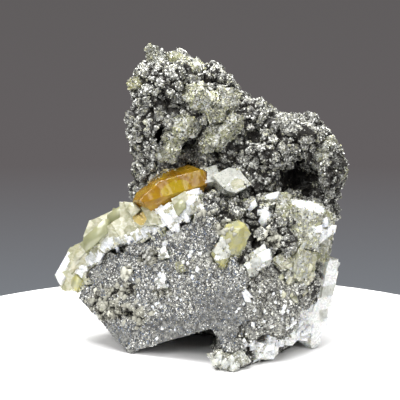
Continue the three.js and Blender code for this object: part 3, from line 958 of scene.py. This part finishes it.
@dataclass
class SmallCrystals:
    """Many small druse crystals, each a corner of three or four faces, gathered for one mesh."""

    size: Pair
    lean: float = 0.75
    places: list[np.ndarray] = field(default_factory=list)
    ways: list[np.ndarray] = field(default_factory=list)
    picks: list[np.ndarray] = field(default_factory=list)

    def add(self, places: np.ndarray, ways: np.ndarray, mix: Mix, deep: np.ndarray,
            draw: Generator) -> None:
        """Adds crystals, and picks a shade for each by the patches that it is in; those deep in gaps get
        painted-shade dark crystals more often.

        Args:
            places: Where they are.
            ways: The directions that they point along.
            mix: How often each shade comes outside the patches.
            deep: How deep each lies in a gap, from 0 to 1, which raises its odds of a painted-shade dark
                crystal.
            draw: The source of random numbers.
        """
        picks = np.zeros(len(places), dtype=np.int32)
        shares = [(joined_share(spots, places), own) for spots, own in PATCH_MIXES]
        # Painted shade: the deeper a crystal lies in a gap, the likelier it is a dark one.
        for share, own in [(np.ones(len(places)), mix), *shares, (1.1 * deep, Mix.SHADE)]:
            chances = np.array([own.value.get(shade, 0.0) for shade in Shade])
            drawn = draw.choice(len(chances), len(places), p=chances / chances.sum())
            picks = np.where(draw.random(len(places)) < share, drawn, picks)
        self.places.append(places)
        self.ways.append(ways)
        self.picks.append(picks)

    def mesh(self, name: str, draw: Generator) -> Mesh:
        """Joins all the crystals.

        Args:
            name: Name of the mesh.
            draw: The source of random numbers.

        Returns:
            The mesh, whose material slots are the shades.
        """
        places, ways = np.concatenate(self.places), np.concatenate(self.ways)
        total = len(places)
        up = unit(ways + self.lean * draw.normal(size=(total, 3)))
        side = unit(np.cross(up, draw.normal(size=(total, 3))))
        other = np.cross(up, side)
        low, high = self.size
        size = (low + (high - low) * draw.random(total) ** 2) * (1 - 0.35 * joined_share(SMOOTH, places))
        shade = np.concatenate(self.picks)
        sides = np.where(draw.random(total) < 0.6, 3, 4)
        vertices: list[np.ndarray] = []
        triangles: list[np.ndarray] = []
        slots: list[np.ndarray] = []
        start = 0
        for count in (3, 4):
            chosen = np.nonzero(sides == count)[0]
            turn = 2 * math.pi * np.arange(count) / count
            wide = size[chosen] * draw.uniform(0.5, 0.75, len(chosen))
            ring = (np.cos(turn)[None, :, None] * side[chosen][:, None, :]
                    + np.sin(turn)[None, :, None] * other[chosen][:, None, :]) * wide[:, None, None]
            foot = places[chosen] - 0.25 * size[chosen][:, None] * up[chosen]
            tip = places[chosen] + 0.42 * size[chosen][:, None] * up[chosen]
            corner = np.concatenate([foot[:, None, :] + ring, tip[:, None, :]], axis=1)
            vertices.append(corner.reshape(-1, 3))
            faces = np.array([[i, (i + 1) % count, count] for i in range(count)])
            offsets = start + np.arange(len(chosen)) * (count + 1)
            triangles.append((offsets[:, None, None] + faces[None]).reshape(-1, 3))
            slots.append(np.repeat(shade[chosen], count))
            start += len(chosen) * (count + 1)
        return mesh_from(name, np.concatenate(vertices), np.concatenate(triangles), np.concatenate(slots))


@dataclass
class DruseCoat:
    """The small crystals that cover a part of the skin, as one joined mesh."""

    name: str
    mix: Mix
    size: Pair
    density: float
    flat: bool | None = None
    lowest: float = -MM
    highest: float = 90 * MM
    front: bool = True
    back: float = 13 * MM
    shaded: float = 8 * MM
    seed: int = 11

    def weight(self, surface: Surface) -> np.ndarray:
        """How thickly each triangle of the skin is covered.

        Args:
            surface: The skin.

        Returns:
            A number from 0 to 1 for each triangle.
        """
        middles = surface.middles()
        share = np.array([GROUND_COVER.get(ground, 1.0) for ground in Ground])[surface.slots]
        share = share * np.where((surface.cross()[:, 2] < 0) & (middles[:, 2] < self.shaded), 0.35, 1.0)
        share *= (middles[:, 2] >= self.lowest) & (middles[:, 2] < self.highest)
        share *= (middles[:, 1] < self.back) == self.front
        if self.flat is not None:
            share *= (Flat().share(middles) > 0.5) == self.flat
        return share

    def build(self, surface: Surface, deep: np.ndarray, palette: Palette) -> Object:
        """Covers its part of the skin.

        Args:
            surface: The skin.
            deep: How deep each polygon of the skin lies in a gap, from 0 to 1, which sets the painted shade
                on the crystals there.
            palette: The shared materials.

        Returns:
            The coat.
        """
        draw = np.random.default_rng(self.seed)
        crystals = SmallCrystals(self.size)
        spots, ways, polygons = surface.scatter(self.density, self.weight(surface), draw)
        crystals.add(spots, ways, self.mix, deep[polygons], draw)
        mesh = crystals.mesh(self.name, draw)
        LOG.info("%s: %d triangles", self.name, len(mesh.polygons))
        return place_piece(self.name, mesh, palette.all(list(Shade)))


@dataclass
class BariteDust:
    """The small druse crystals that have grown over the barite pieces, as one joined mesh."""

    name: str = "barite_dust"
    size: Pair = (0.3 * MM, 0.8 * MM)
    density: float = 5.5
    border: float = 1.5 * MM
    spread: Cloud = Cloud(4 * MM, 61, 3)
    seed: int = 71

    def weight(self, surface: Surface, skin: BVHTree, part: BaritePiece) -> np.ndarray:
        """How thickly each triangle of a piece is covered: most next to the mass.

        Args:
            surface: The piece's surface.
            skin: The surface of the mass.
            part: The piece, with its cover and the patches that stay bare or are grown over.

        Returns:
            A number from 0 to 1 for each triangle.
        """
        middles = surface.middles()
        away = distance_to(skin, middles, 3 * self.border)
        noise = 0.5 + 0.7 * self.spread.at(middles)
        near = np.clip(1.3 - away / self.border - 0.6 * noise, 0, 1)
        share = np.maximum(near, np.clip(5 * (1.15 * part.cover - noise), 0, 1) * (part.cover > 0))
        if part.veil:
            share = np.maximum(share, joined_share(part.veil, middles))
        return share * (1 - joined_share(part.bare, middles)) if part.bare else share

    def build(self, pieces: dict[str, Object], skin: BVHTree, palette: Palette) -> Object:
        """Dusts every barite piece.

        Args:
            pieces: The dressed pieces by name.
            skin: The surface of the mass.
            palette: The shared materials.

        Returns:
            The joined dust.
        """
        draw = np.random.default_rng(self.seed)
        crystals = SmallCrystals(self.size)
        for part in BARITE_PIECES:
            surface = Surface(pieces[part.node_name].data)
            weight = self.weight(surface, skin, part)
            spots, ways, _ = surface.scatter(self.density, weight, draw)
            crystals.add(spots, ways, part.dust, np.zeros(len(spots)), draw)
        mesh = crystals.mesh(self.name, draw)
        LOG.info("%s: %d triangles", self.name, len(mesh.polygons))
        return place_piece(self.name, mesh, palette.all(list(Shade)))


# The ridges get the pale mix as painted light, and the hollows the dark mix as painted shade.
PATCH_MIXES = [(SMOOTH, Mix.SMOOTH), (DULL, Mix.RIGHT), (PALE_SPOTS, Mix.PALE), (OLIVE_SPOTS, Mix.DUSTED),
               (CRUSTS, Mix.CRUST), (RIDGES_WITH_PAINTED_LIGHT, Mix.PALE), (HOLLOWS_WITH_PAINTED_SHADE, Mix.SHADE)]


# The barite

@dataclass
class BaritePiece:
    """One barite piece: its solid's own shape, with soft edges and finely broken faces."""

    node_name: str
    slot: str
    tints: dict[Tint, float]
    cleavage: Cleavage
    cover: float = 0.0
    spots: list[tuple[Patch, Tint]] = field(default_factory=list)
    bare: list[Patch] = field(default_factory=list)
    dust: Mix = Mix.DUSTED
    veil: list[Patch] = field(default_factory=list)
    fine: float = 0.45 * MM
    bevel: float = 0.12 * MM
    uneven: float = 0.05 * MM
    lumps: float = 0.0
    lump: Cells = Cells(2.3 * MM, 23)

    def divided(self, source: Object) -> Mesh:
        """Copies the solid with bevelled edges and small faces.

        Args:
            source: The piece's solid.

        Returns:
            The new mesh.
        """
        shape = bmesh.new()
        shape.from_mesh(source.data)
        bmesh.ops.remove_doubles(shape, verts=shape.verts, dist=0.002 * MM)
        bmesh.ops.dissolve_limit(shape, angle_limit=math.radians(1), verts=shape.verts, edges=shape.edges)
        bmesh.ops.bevel(shape, geom=shape.edges[:], offset=self.bevel, segments=1, affect="EDGES",
                        clamp_overlap=True, profile=0.5)
        bmesh.ops.triangulate(shape, faces=shape.faces)
        for _ in range(6):
            long = [edge for edge in shape.edges if edge.calc_length() > 1.6 * self.fine]
            if not long:
                break
            bmesh.ops.subdivide_edges(shape, edges=long, cuts=1)
            bmesh.ops.triangulate(shape, faces=[face for face in shape.faces if len(face.verts) > 3])
        mesh = bpy.data.meshes.new(self.node_name)
        shape.to_mesh(mesh)
        shape.free()
        return mesh

    def build(self, source: Object, palette: Palette) -> Object:
        """Makes the piece and hides the solid that it stands for.

        Args:
            source: The piece's solid.
            palette: The shared materials.

        Returns:
            The dressed piece.
        """
        mesh = self.divided(source)
        places = corners_of(mesh)
        height = self.cleavage.relief(places) + self.uneven * Cloud(1.4 * MM, 31, 3).at(places)
        height += self.lumps * self.lump.domes(places)[0]
        set_corners(mesh, places + outward_of(mesh) * height[:, None])
        middles = middles_of(mesh)
        tints = list(self.tints) + [tint for _, tint in self.spots]
        picked = self.cleavage.pick(middles, list(self.tints.values()))
        for number, (patch, _) in enumerate(self.spots):
            picked = np.where(patch.share(middles) > 0.5, len(self.tints) + number, picked)
        set_slots(mesh, picked)
        piece = place_piece(f"{self.node_name}_dressed", mesh, palette.all(tints))
        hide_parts(self.node_name)
        LOG.info("%s: %d faces", self.node_name, len(mesh.polygons))
        return piece


@dataclass(frozen=True)
class Chip:
    """One small tablet, or a few of them, at a place in the picture."""

    column: float
    row: float
    width: float
    finish: Tint | Shade
    count: int = 1
    spread: float = 0.0
    long: float = 1.3
    turn: float = 40.0
    lean: float = 0.2


@dataclass
class Chips:
    """The small tablets that sit on the larger pieces and on the druse, as one joined mesh."""

    name: str
    slot: str
    chips: list[Chip]
    front: Triple = (-0.4, -0.8, 0.4)
    thickest: float = 0.9 * MM
    seed: int = 5

    def tablet(self, spot: Vector, outward: Vector, chip: Chip, draw: Generator) -> np.ndarray:
        """Shapes one tablet: a slanted plate whose top is a little smaller than its foot.

        Args:
            spot: Where it sits.
            outward: The direction square to the surface there.
            chip: Its sizes.
            draw: The source of random numbers.

        Returns:
            Its eight corners, foot first.
        """
        width = chip.width * MM * draw.uniform(0.75, 1.2)
        up = (outward * 0.5 + Vector(self.front) + Vector(draw.normal(size=3) * chip.lean)).normalized()
        angle = math.radians(chip.turn + draw.normal() * (8 if chip.count == 1 else 25))
        level = Vector((math.cos(angle), 0.0, math.sin(angle)))
        side = (level - up * level.dot(up)).normalized()
        other = up.cross(side) * width * 0.5
        side *= width * chip.long * 0.5
        slant = side * 0.18
        ring = [side + other + slant, other - side + slant, -side - other - slant, side - other - slant]
        foot = spot - up * width * 0.4
        top = spot + up * min(width * draw.uniform(0.15, 0.35), self.thickest)
        return np.array([foot + way for way in ring] + [top + way * 0.88 for way in ring])

    def build(self, seen: BVHTree, palette: Palette) -> Object:
        """Places every tablet on the surface that the camera sees there.

        Args:
            seen: The surfaces of the specimen.
            palette: The shared materials.

        Returns:
            The joined tablets.
        """
        draw = np.random.default_rng(self.seed)
        finishes = sorted({chip.finish for chip in self.chips}, key=lambda finish: finish.name)
        tablets: list[np.ndarray] = []
        picks: list[int] = []
        for chip in self.chips:
            for _ in range(chip.count):
                column, row = np.array([chip.column, chip.row]) + draw.normal(size=2) * chip.spread
                spot, outward, _, _ = seen.ray_cast(SIGHT.eye(), SIGHT.way(column, row))
                if spot is None:
                    continue
                tablets.append(self.tablet(spot, outward, chip, draw))
                picks.append(finishes.index(chip.finish))
        return place_blocks(self.name, tablets, picks, palette.all(finishes))


@dataclass
class Fringe:
    """The saw-tooth row of small blades that joins the ledge to the flat face below it."""

    name: str
    slot: str
    line: list[Triple]
    step: float = 2.2
    abreast: int = 2
    downward: Pair = (0.5, 0.85)
    astray: float = 0.25
    apart: float = 1.2
    above: Pair = (1.0, 4.0)
    below: Pair = (0.4, 1.2)
    width: Pair = (0.9 * MM, 2.2 * MM)
    longest: float = 14 * MM
    proud: float = 0.35 * MM
    tints: tuple[Tint, ...] = (Tint.WHITE, Tint.WHITE, Tint.PALE, Tint.FROSTED)
    seed: int = 15

    def stations(self) -> np.ndarray:
        """Evenly spaced places along the seam with the drop below each, in pixels, one row each."""
        line = np.array(self.line, dtype=float)
        along = np.concatenate([[0.0], np.cumsum(np.linalg.norm(np.diff(line[:, :2], axis=0), axis=1))])
        marks = np.arange(0.0, along[-1], self.step)
        return np.stack([np.interp(marks, along, line[:, i]) for i in range(3)], axis=1)

    def blade(self, head: Vector, foot: Vector, width: float) -> np.ndarray:
        """Shapes one blade, which narrows to a slanted foot.

        Args:
            head: Its middle on the ledge.
            foot: Its middle on the flat face.
            width: Its width at the head.

        Returns:
            Its eight corners, head first.
        """
        axis = (foot - head).normalized()
        toward = (SIGHT.eye() - head).normalized()
        side = axis.cross(toward).normalized() * width * 0.5
        front = side.cross(axis).normalized()
        front = (front if front.dot(toward) > 0 else -front) * self.proud
        ring = [side + front, side - 3 * front, -side - 3 * front, -side + front]
        tail = [foot + 0.5 * way + 0.35 * side for way in ring]
        return np.array([head + way for way in ring] + tail)

    def build(self, seen: BVHTree, palette: Palette) -> Object:
        """Sets blades along the whole seam.

        Args:
            seen: The surfaces of the specimen.
            palette: The shared materials.

        Returns:
            The joined blades.
        """
        draw = np.random.default_rng(self.seed)
        blades: list[np.ndarray] = []
        picks: list[int] = []
        for column, row, drop in np.repeat(self.stations(), self.abreast, axis=0):
            way = np.array(self.downward) + draw.normal(size=2) * self.astray
            spot = np.array([column, row]) + draw.normal(size=2) * self.apart
            ends = [spot - way * draw.uniform(*self.above), spot + way * drop * draw.uniform(*self.below)]
            head, foot = (seen.ray_cast(SIGHT.eye(), SIGHT.way(*end))[0] for end in ends)
            if head is None or foot is None or (head - foot).length > self.longest:
                continue
            blades.append(self.blade(head, foot, draw.uniform(*self.width)))
            picks.append(int(draw.integers(len(self.tints))))
        return place_blocks(self.name, blades, picks, palette.all(list(self.tints)))


# The studio

@dataclass
class Studio:
    """The pale floor, the backdrop, the soft lights and the camera."""

    floor_radius: float = 98 * MM
    floor_middle: Triple = (0.0, -24 * MM, 0.0)

    def camera(self) -> None:
        """Places the camera, which looks along +Y and a little down."""
        lens = bpy.data.cameras.new("camera")
        lens.sensor_fit = "HORIZONTAL"
        lens.sensor_width = 36.0
        lens.lens = 36.0 * SIGHT.distance / SIGHT.width
        camera = bpy.data.objects.new("camera", lens)
        camera.location = SIGHT.eye()
        camera.rotation_euler = (math.radians(90 - SIGHT.elevation), 0.0, 0.0)
        add_to_scene(camera)
        bpy.context.scene.camera = camera

    def floor(self) -> None:
        """Lays the pale round floor."""
        mesh = bpy.data.meshes.new("floor")
        shape = bmesh.new()
        bmesh.ops.create_circle(shape, cap_ends=True, radius=self.floor_radius, segments=180)
        shape.to_mesh(mesh)
        shape.free()
        floor = bpy.data.objects.new("floor", mesh)
        floor.location = self.floor_middle
        material, _, shader = new_material("pale_floor")
        shader.inputs["Base Color"].default_value = (0.97, 0.97, 0.97, 1)
        shader.inputs["Roughness"].default_value = 0.6
        mesh.materials.append(material)
        add_to_scene(floor)

    def lamp(self, name: str, place: Triple, size: float, power: float) -> None:
        """Adds a square soft light that faces the specimen.

        Args:
            name: Name of the light.
            place: Where it hangs.
            size: Length of its side.
            power: Its power in watts.
        """
        light = bpy.data.lights.new(name, "AREA")
        light.shape = "SQUARE"
        light.size = size
        light.energy = power
        lamp = bpy.data.objects.new(name, light)
        lamp.location = place
        lamp.rotation_euler = (Vector((0.0, 0.0, 0.04)) - Vector(place)).to_track_quat("-Z", "Y").to_euler()
        add_to_scene(lamp)

    def backdrop(self) -> None:
        """Sets the plain grey behind the specimen, a little lighter lower down."""
        world = bpy.data.worlds.new("backdrop")
        world.use_nodes = True
        tree = world.node_tree
        place = node(tree, "ShaderNodeTexCoord")
        split = node(tree, "ShaderNodeSeparateXYZ")
        height = node(tree, "ShaderNodeMapRange", From_Min=-0.26, From_Max=-0.13)
        tree.links.new(place.outputs["Generated"], split.inputs["Vector"])
        tree.links.new(split.outputs["Z"], height.inputs["Value"])
        greys = [(0.0, (0.205, 0.22, 0.24)), (1.0, (0.118, 0.11, 0.111)), (0.45, (0.128, 0.117, 0.12))]
        link_ramp(tree, height.outputs["Result"], tree.nodes["Background"].inputs["Color"], greys)
        bpy.context.scene.world = world

    def build(self) -> None:
        """Sets up the whole studio."""
        self.camera()
        self.floor()
        self.backdrop()
        self.lamp("overhead", (-0.04, 0.06, 0.5), 0.5, 6.8)
        self.lamp("front_left", (-0.35, -0.5, 0.42), 0.4, 3.6)
        self.lamp("front_right", (0.42, -0.5, 0.36), 0.6, 2.5)
        bpy.context.scene.view_settings.view_transform = "Standard"


# The pieces

LEDGE_GRID = Cleavage(6.2 * MM, 0.09, 0.3 * MM, 3, (0.8, -0.3, 0.55), (-0.62, 0.2, 0.75))
SMALL_GRID = Cleavage(1.4 * MM, 0.2, 0.25 * MM, 9)
WIDE_GRID = Cleavage(4.6 * MM, 0.09, 0.1 * MM, 12)
GOLD_GRID = Cleavage(6.0 * MM, 0.03, 0.03 * MM, 12)
UPRIGHT_GRID = Cleavage(1.5 * MM, 0.16, 0.3 * MM, 4, (0.9, -0.4, 0.05), (0.1, 0.1, 3.0))
BLADE_GRID = Cleavage(3.4 * MM, 0.12, 0.2 * MM, 14, (0.9, -0.4, 0.05), (0.2, 0.1, 3.0))
DULL_TINTS = {Tint.OLIVE: 3, Tint.FROSTED: 2, Tint.GREENISH: 2}
ICY_TINTS = {Tint.WHITE: 1, Tint.CLEAR: 1}
BACK_TINTS = {Tint.PALE: 2, Tint.WHITE: 1}


def veiled(name: str, cover: float = 0.8, tints: dict[Tint, float] = DULL_TINTS, lumps: float = MM,
           slot: str = "olive_barite") -> BaritePiece:
    """A crystal of the upper mass that the druse has grown over."""
    return BaritePiece(name, slot, tints, SMALL_GRID, cover, dust=Mix.VEILED, lumps=lumps)


LEDGE_VEIL = patches((103, 257, 9, 6, 32, 0.3, 61), (115, 250, 9, 6, 30, 0.3, 62),
                     (127, 245, 9, 5.5, 26, 0.3, 63), (139, 240, 9, 5.5, 22, 0.3, 64),
                     (151, 236, 8, 5, 16, 0.3, 65))
BARITE_PIECES = [
    BaritePiece("golden_barite", "golden_barite", {Tint.GOLDEN: 1}, GOLD_GRID,
                spots=[(Patch(176, 188, 17, 8, 22, 0.2), Tint.SUNNY),
                       (Patch(206, 181, 8, 11, -30, 0.15), Tint.AMBER),
                       (Patch(143, 200, 9, 6, 40, 0.15), Tint.AMBER)]),
    # Its white cleavage cells are partly painted highlight: bright cells for faces that catch the light,
    # among pale barite.
    BaritePiece("barite_ledge", "pale_barite", {Tint.PALE: 6, Tint.WHITE: 0.9, Tint.GREENISH: 1.4},
                LEDGE_GRID, spots=[(Patch(141, 217, 9, 8, 30, 0.3), Tint.HONEY),
                                   (Patch(77, 283, 7, 9, 0, 0.2), Tint.YELLOW)],
                dust=Mix.FACE, veil=LEDGE_VEIL),
    BaritePiece("wedge_barite", "frosted_barite", {Tint.FROSTED: 1}, WIDE_GRID, 0.3,
                [(Patch(236, 184, 9, 8, 30, 0.3), Tint.PALE)]),
    BaritePiece("yellow_barite", "yellow_barite", {Tint.YELLOW: 1}, WIDE_GRID, 0.1,
                [(Patch(219, 246, 9, 20, 30, 0.2), Tint.FROSTED)], dust=Mix.VEILED),
    BaritePiece("white_barite", "white_barite", {Tint.WHITE: 1, Tint.FROSTED: 3}, SMALL_GRID, 0.6),
    BaritePiece("arc_barite", "white_barite", {Tint.FROSTED: 2, Tint.OLIVE: 2, Tint.GREENISH: 2}, SMALL_GRID,
                0.9, [(Patch(308, 206, 22, 6, -16, 0.1), Tint.WHITE)],
                patches((308, 205, 23, 6, -16, 0.1), (271, 197, 7, 4, 0, 0.1))),
    BaritePiece("striated_barite", "frosted_barite", {Tint.FROSTED: 2, Tint.PALE: 2}, UPRIGHT_GRID, 0.5),
    BaritePiece("rim_barite", "white_barite", {Tint.WHITE: 3, Tint.FROSTED: 1}, BLADE_GRID),
    BaritePiece("fringe_barite", "white_barite", {Tint.WHITE: 2, Tint.FROSTED: 1}, BLADE_GRID, 0.4),
    BaritePiece("toe_barite", "frosted_barite", {Tint.FROSTED: 1, Tint.OLIVE: 1}, SMALL_GRID, 0.9,
                dust=Mix.RIGHT, lumps=0.5 * MM),
    veiled("tip_barite", 0.5, {Tint.CLEAR: 2, Tint.OLIVE: 1}, 0.5 * MM),
    veiled("crest_barite", lumps=0.5 * MM),
    veiled("crown_barite", tints={**DULL_TINTS, Tint.PALE: 1}),
    veiled("inner_barite", 0.85),
    veiled("waist_barite", 0.85),
    veiled("shoulder_barite"),
    veiled("amber_barite", tints={Tint.YELLOW: 1, Tint.OLIVE: 1}, slot="golden_barite"),
    BaritePiece("face_barite_white", "white_barite", ICY_TINTS, SMALL_GRID, 0.5),
    BaritePiece("face_barite_green", "olive_barite", {Tint.GREENISH: 1, Tint.OLIVE: 1}, SMALL_GRID, 0.6),
    BaritePiece("face_barite_upper", "white_barite", ICY_TINTS, SMALL_GRID, 0.5),
    BaritePiece("back_plates", "pale_barite", BACK_TINTS, SMALL_GRID, 0.3),
    BaritePiece("back_blades", "pale_barite", BACK_TINTS, SMALL_GRID, 0.3),
]

SEAM = [(88, 262, 3), (95, 252, 5), (103, 246, 6), (113, 242, 7), (124, 239, 7), (135, 235, 6.5),
        (148, 231, 6), (158, 231, 4), (168, 231, 4), (178, 225, 4), (188, 212, 4), (197, 200, 4)]
LEDGE_CHIPS = [
    Chip(167, 217, 2.9, Tint.WHITE, long=2.6, turn=-48), Chip(174, 211, 2.0, Tint.WHITE, long=2.2, turn=-48),
    Chip(151, 215, 3.0, Tint.PALE, long=2.2, turn=-50), Chip(144, 210, 1.6, Tint.HONEY, long=2.2, turn=-50),
    Chip(133, 209, 3.4, Tint.PALE, turn=-35), Chip(180, 207, 3.6, Tint.GREENISH, long=1.2),
    Chip(191, 201, 2.3, Tint.WHITE, long=1.8), Chip(184, 217, 1.3, Tint.WHITE, 3, 1.5, 1.8, -48),
    Chip(197, 193, 1.5, Tint.WHITE, 3, 1.5, 1.6), Chip(108, 221, 5.0, Tint.PALE, long=1.9, turn=35, lean=0.1),
    Chip(117, 215, 3.4, Tint.GREENISH, long=2.2, turn=30),
    Chip(96, 236, 3.6, Tint.GREENISH, long=2.4, turn=38, lean=0.1),
    Chip(82, 250, 3.4, Tint.PALE, long=2.6, turn=44), Chip(75, 262, 2.6, Tint.PALE, long=2.6, turn=55),
    Chip(65, 268, 3.2, Tint.WHITE, long=3.0, turn=66, lean=0.1),
    Chip(77, 283, 2.6, Tint.YELLOW, long=1.5, turn=70), Chip(84, 266, 1.6, Tint.WHITE, 5, 3.0),
    # These white tablets are partly painted highlight, set where the ledge's cleavage faces catch the light,
    # and partly small white tablets.
    Chip(100, 258, 1.9, Tint.WHITE, 6, 2.2), Chip(109, 242, 1.5, Tint.WHITE, 4, 1.8, 2.0, 30),
]
FRONT_CHIPS = [
    Chip(162, 277, 1.3, Tint.WHITE, 5, 1.3), Chip(165, 246, 1.3, Tint.WHITE, 3, 2.0),
    Chip(248, 293, 1.3, Tint.WHITE, 2, 2.0, 3.0, -40), Chip(264, 257, 2.6, Tint.WHITE, long=1.5, turn=30),
    Chip(258, 262, 2.2, Tint.FROSTED, 2, 3.0), Chip(261, 213, 2.2, Tint.WHITE, 3, 4.0, 1.8, 60),
    Chip(270, 197, 1.8, Tint.WHITE, long=2.6, turn=10), Chip(321, 232, 2.2, Tint.WHITE, 6, 4.0),
    Chip(300, 262, 1.3, Tint.PALE, 10, 8.0, 2.0, 60), Chip(275, 352, 1.8, Tint.WHITE, 6, 4.0),
    Chip(268, 357, 2.0, Tint.WHITE, 5, 5.0, 2.4, 20), Chip(250, 348, 1.5, Tint.WHITE, 5, 5.0),
    Chip(225, 362, 1.4, Tint.FROSTED, 12, 6.0), Chip(195, 262, 1.0, Tint.WHITE, 8, 10.0),
    Chip(150, 300, 0.7, Tint.WHITE, 30, 26.0), Chip(275, 310, 0.9, Tint.WHITE, 30, 22.0),
    Chip(292, 290, 1.2, Tint.PALE, 12, 10.0, 1.8, 60), Chip(300, 330, 1.6, Tint.WHITE, 8, 5.0, 2.0, 60),
]
CRUST_FLAKES = [
    Chip(104, 305, 1.1, Shade.BEIGE, 22, 9.0, lean=0.4), Chip(104, 305, 0.9, Shade.CREAM, 8, 10.0, lean=0.4),
    Chip(124, 290, 1.1, Shade.BEIGE, 14, 7.0, lean=0.4), Chip(133, 315, 1.1, Shade.BEIGE, 12, 7.0, lean=0.4),
    Chip(126, 274, 1.5, Shade.CREAM, 5, 3.0, lean=0.3), Chip(148, 259, 1.0, Shade.GREY, 12, 8.0, lean=0.4),
    Chip(273, 239, 1.2, Shade.CREAM, 10, 5.0, lean=0.5), Chip(222, 229, 1.2, Shade.BEIGE, 12, 5.0, lean=0.5),
    Chip(202, 212, 1.1, Shade.BEIGE, 10, 5.0, lean=0.5), Chip(160, 290, 0.9, Shade.GREY, 14, 10.0, lean=0.4),
]

COATS = [
    DruseCoat("face_druse", Mix.FACE, (0.27 * MM, 0.66 * MM), 12.5, True, seed=1),
    DruseCoat("upper_druse", Mix.UPPER, (0.34 * MM, 0.9 * MM), 7.2, False, lowest=40 * MM, seed=4),
    DruseCoat("lower_druse", Mix.RIGHT, (0.3 * MM, 0.75 * MM), 8.4, False, highest=40 * MM, seed=5),
    DruseCoat("back_druse", Mix.UPPER, (0.55 * MM, 1.5 * MM), 2.2, front=False, seed=6),
]


def main() -> None:
    """Builds every piece of the specimen, then the studio."""
    logging.basicConfig(level=logging.INFO, format="%(name)s: %(message)s")
    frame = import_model()
    nodes = frame["nodes"]
    palette = Palette()
    barite = {piece.node_name: piece.build(nodes[piece.node_name], palette) for piece in BARITE_PIECES}
    golden = surface_tree([barite["golden_barite"]])
    mass = DruseSkin(palette)
    clean = [barite[piece.node_name] for piece in BARITE_PIECES if piece.lumps < MM]
    skin = mass.build(nodes["matrix"], surface_tree(clean), golden)
    LOG.info("matrix_skin: %d faces", len(skin.data.polygons))
    surface = Surface(skin.data)
    for coat in COATS:
        coat.build(surface, mass.deep, palette)
    BariteDust().build(barite, surface_tree([skin]), palette)
    seen = surface_tree([skin, *barite.values()])
    Chips("ledge_chips", "pale_barite", LEDGE_CHIPS).build(seen, palette)
    Fringe("ledge_fringe", "pale_barite", SEAM).build(seen, palette)
    Chips("front_chips", "white_barite", FRONT_CHIPS, seed=6).build(seen, palette)
    Chips("crust_flakes", "druse", CRUST_FLAKES, seed=7).build(seen, palette)
    Studio().build()


if __name__ == "__main__":
    main()
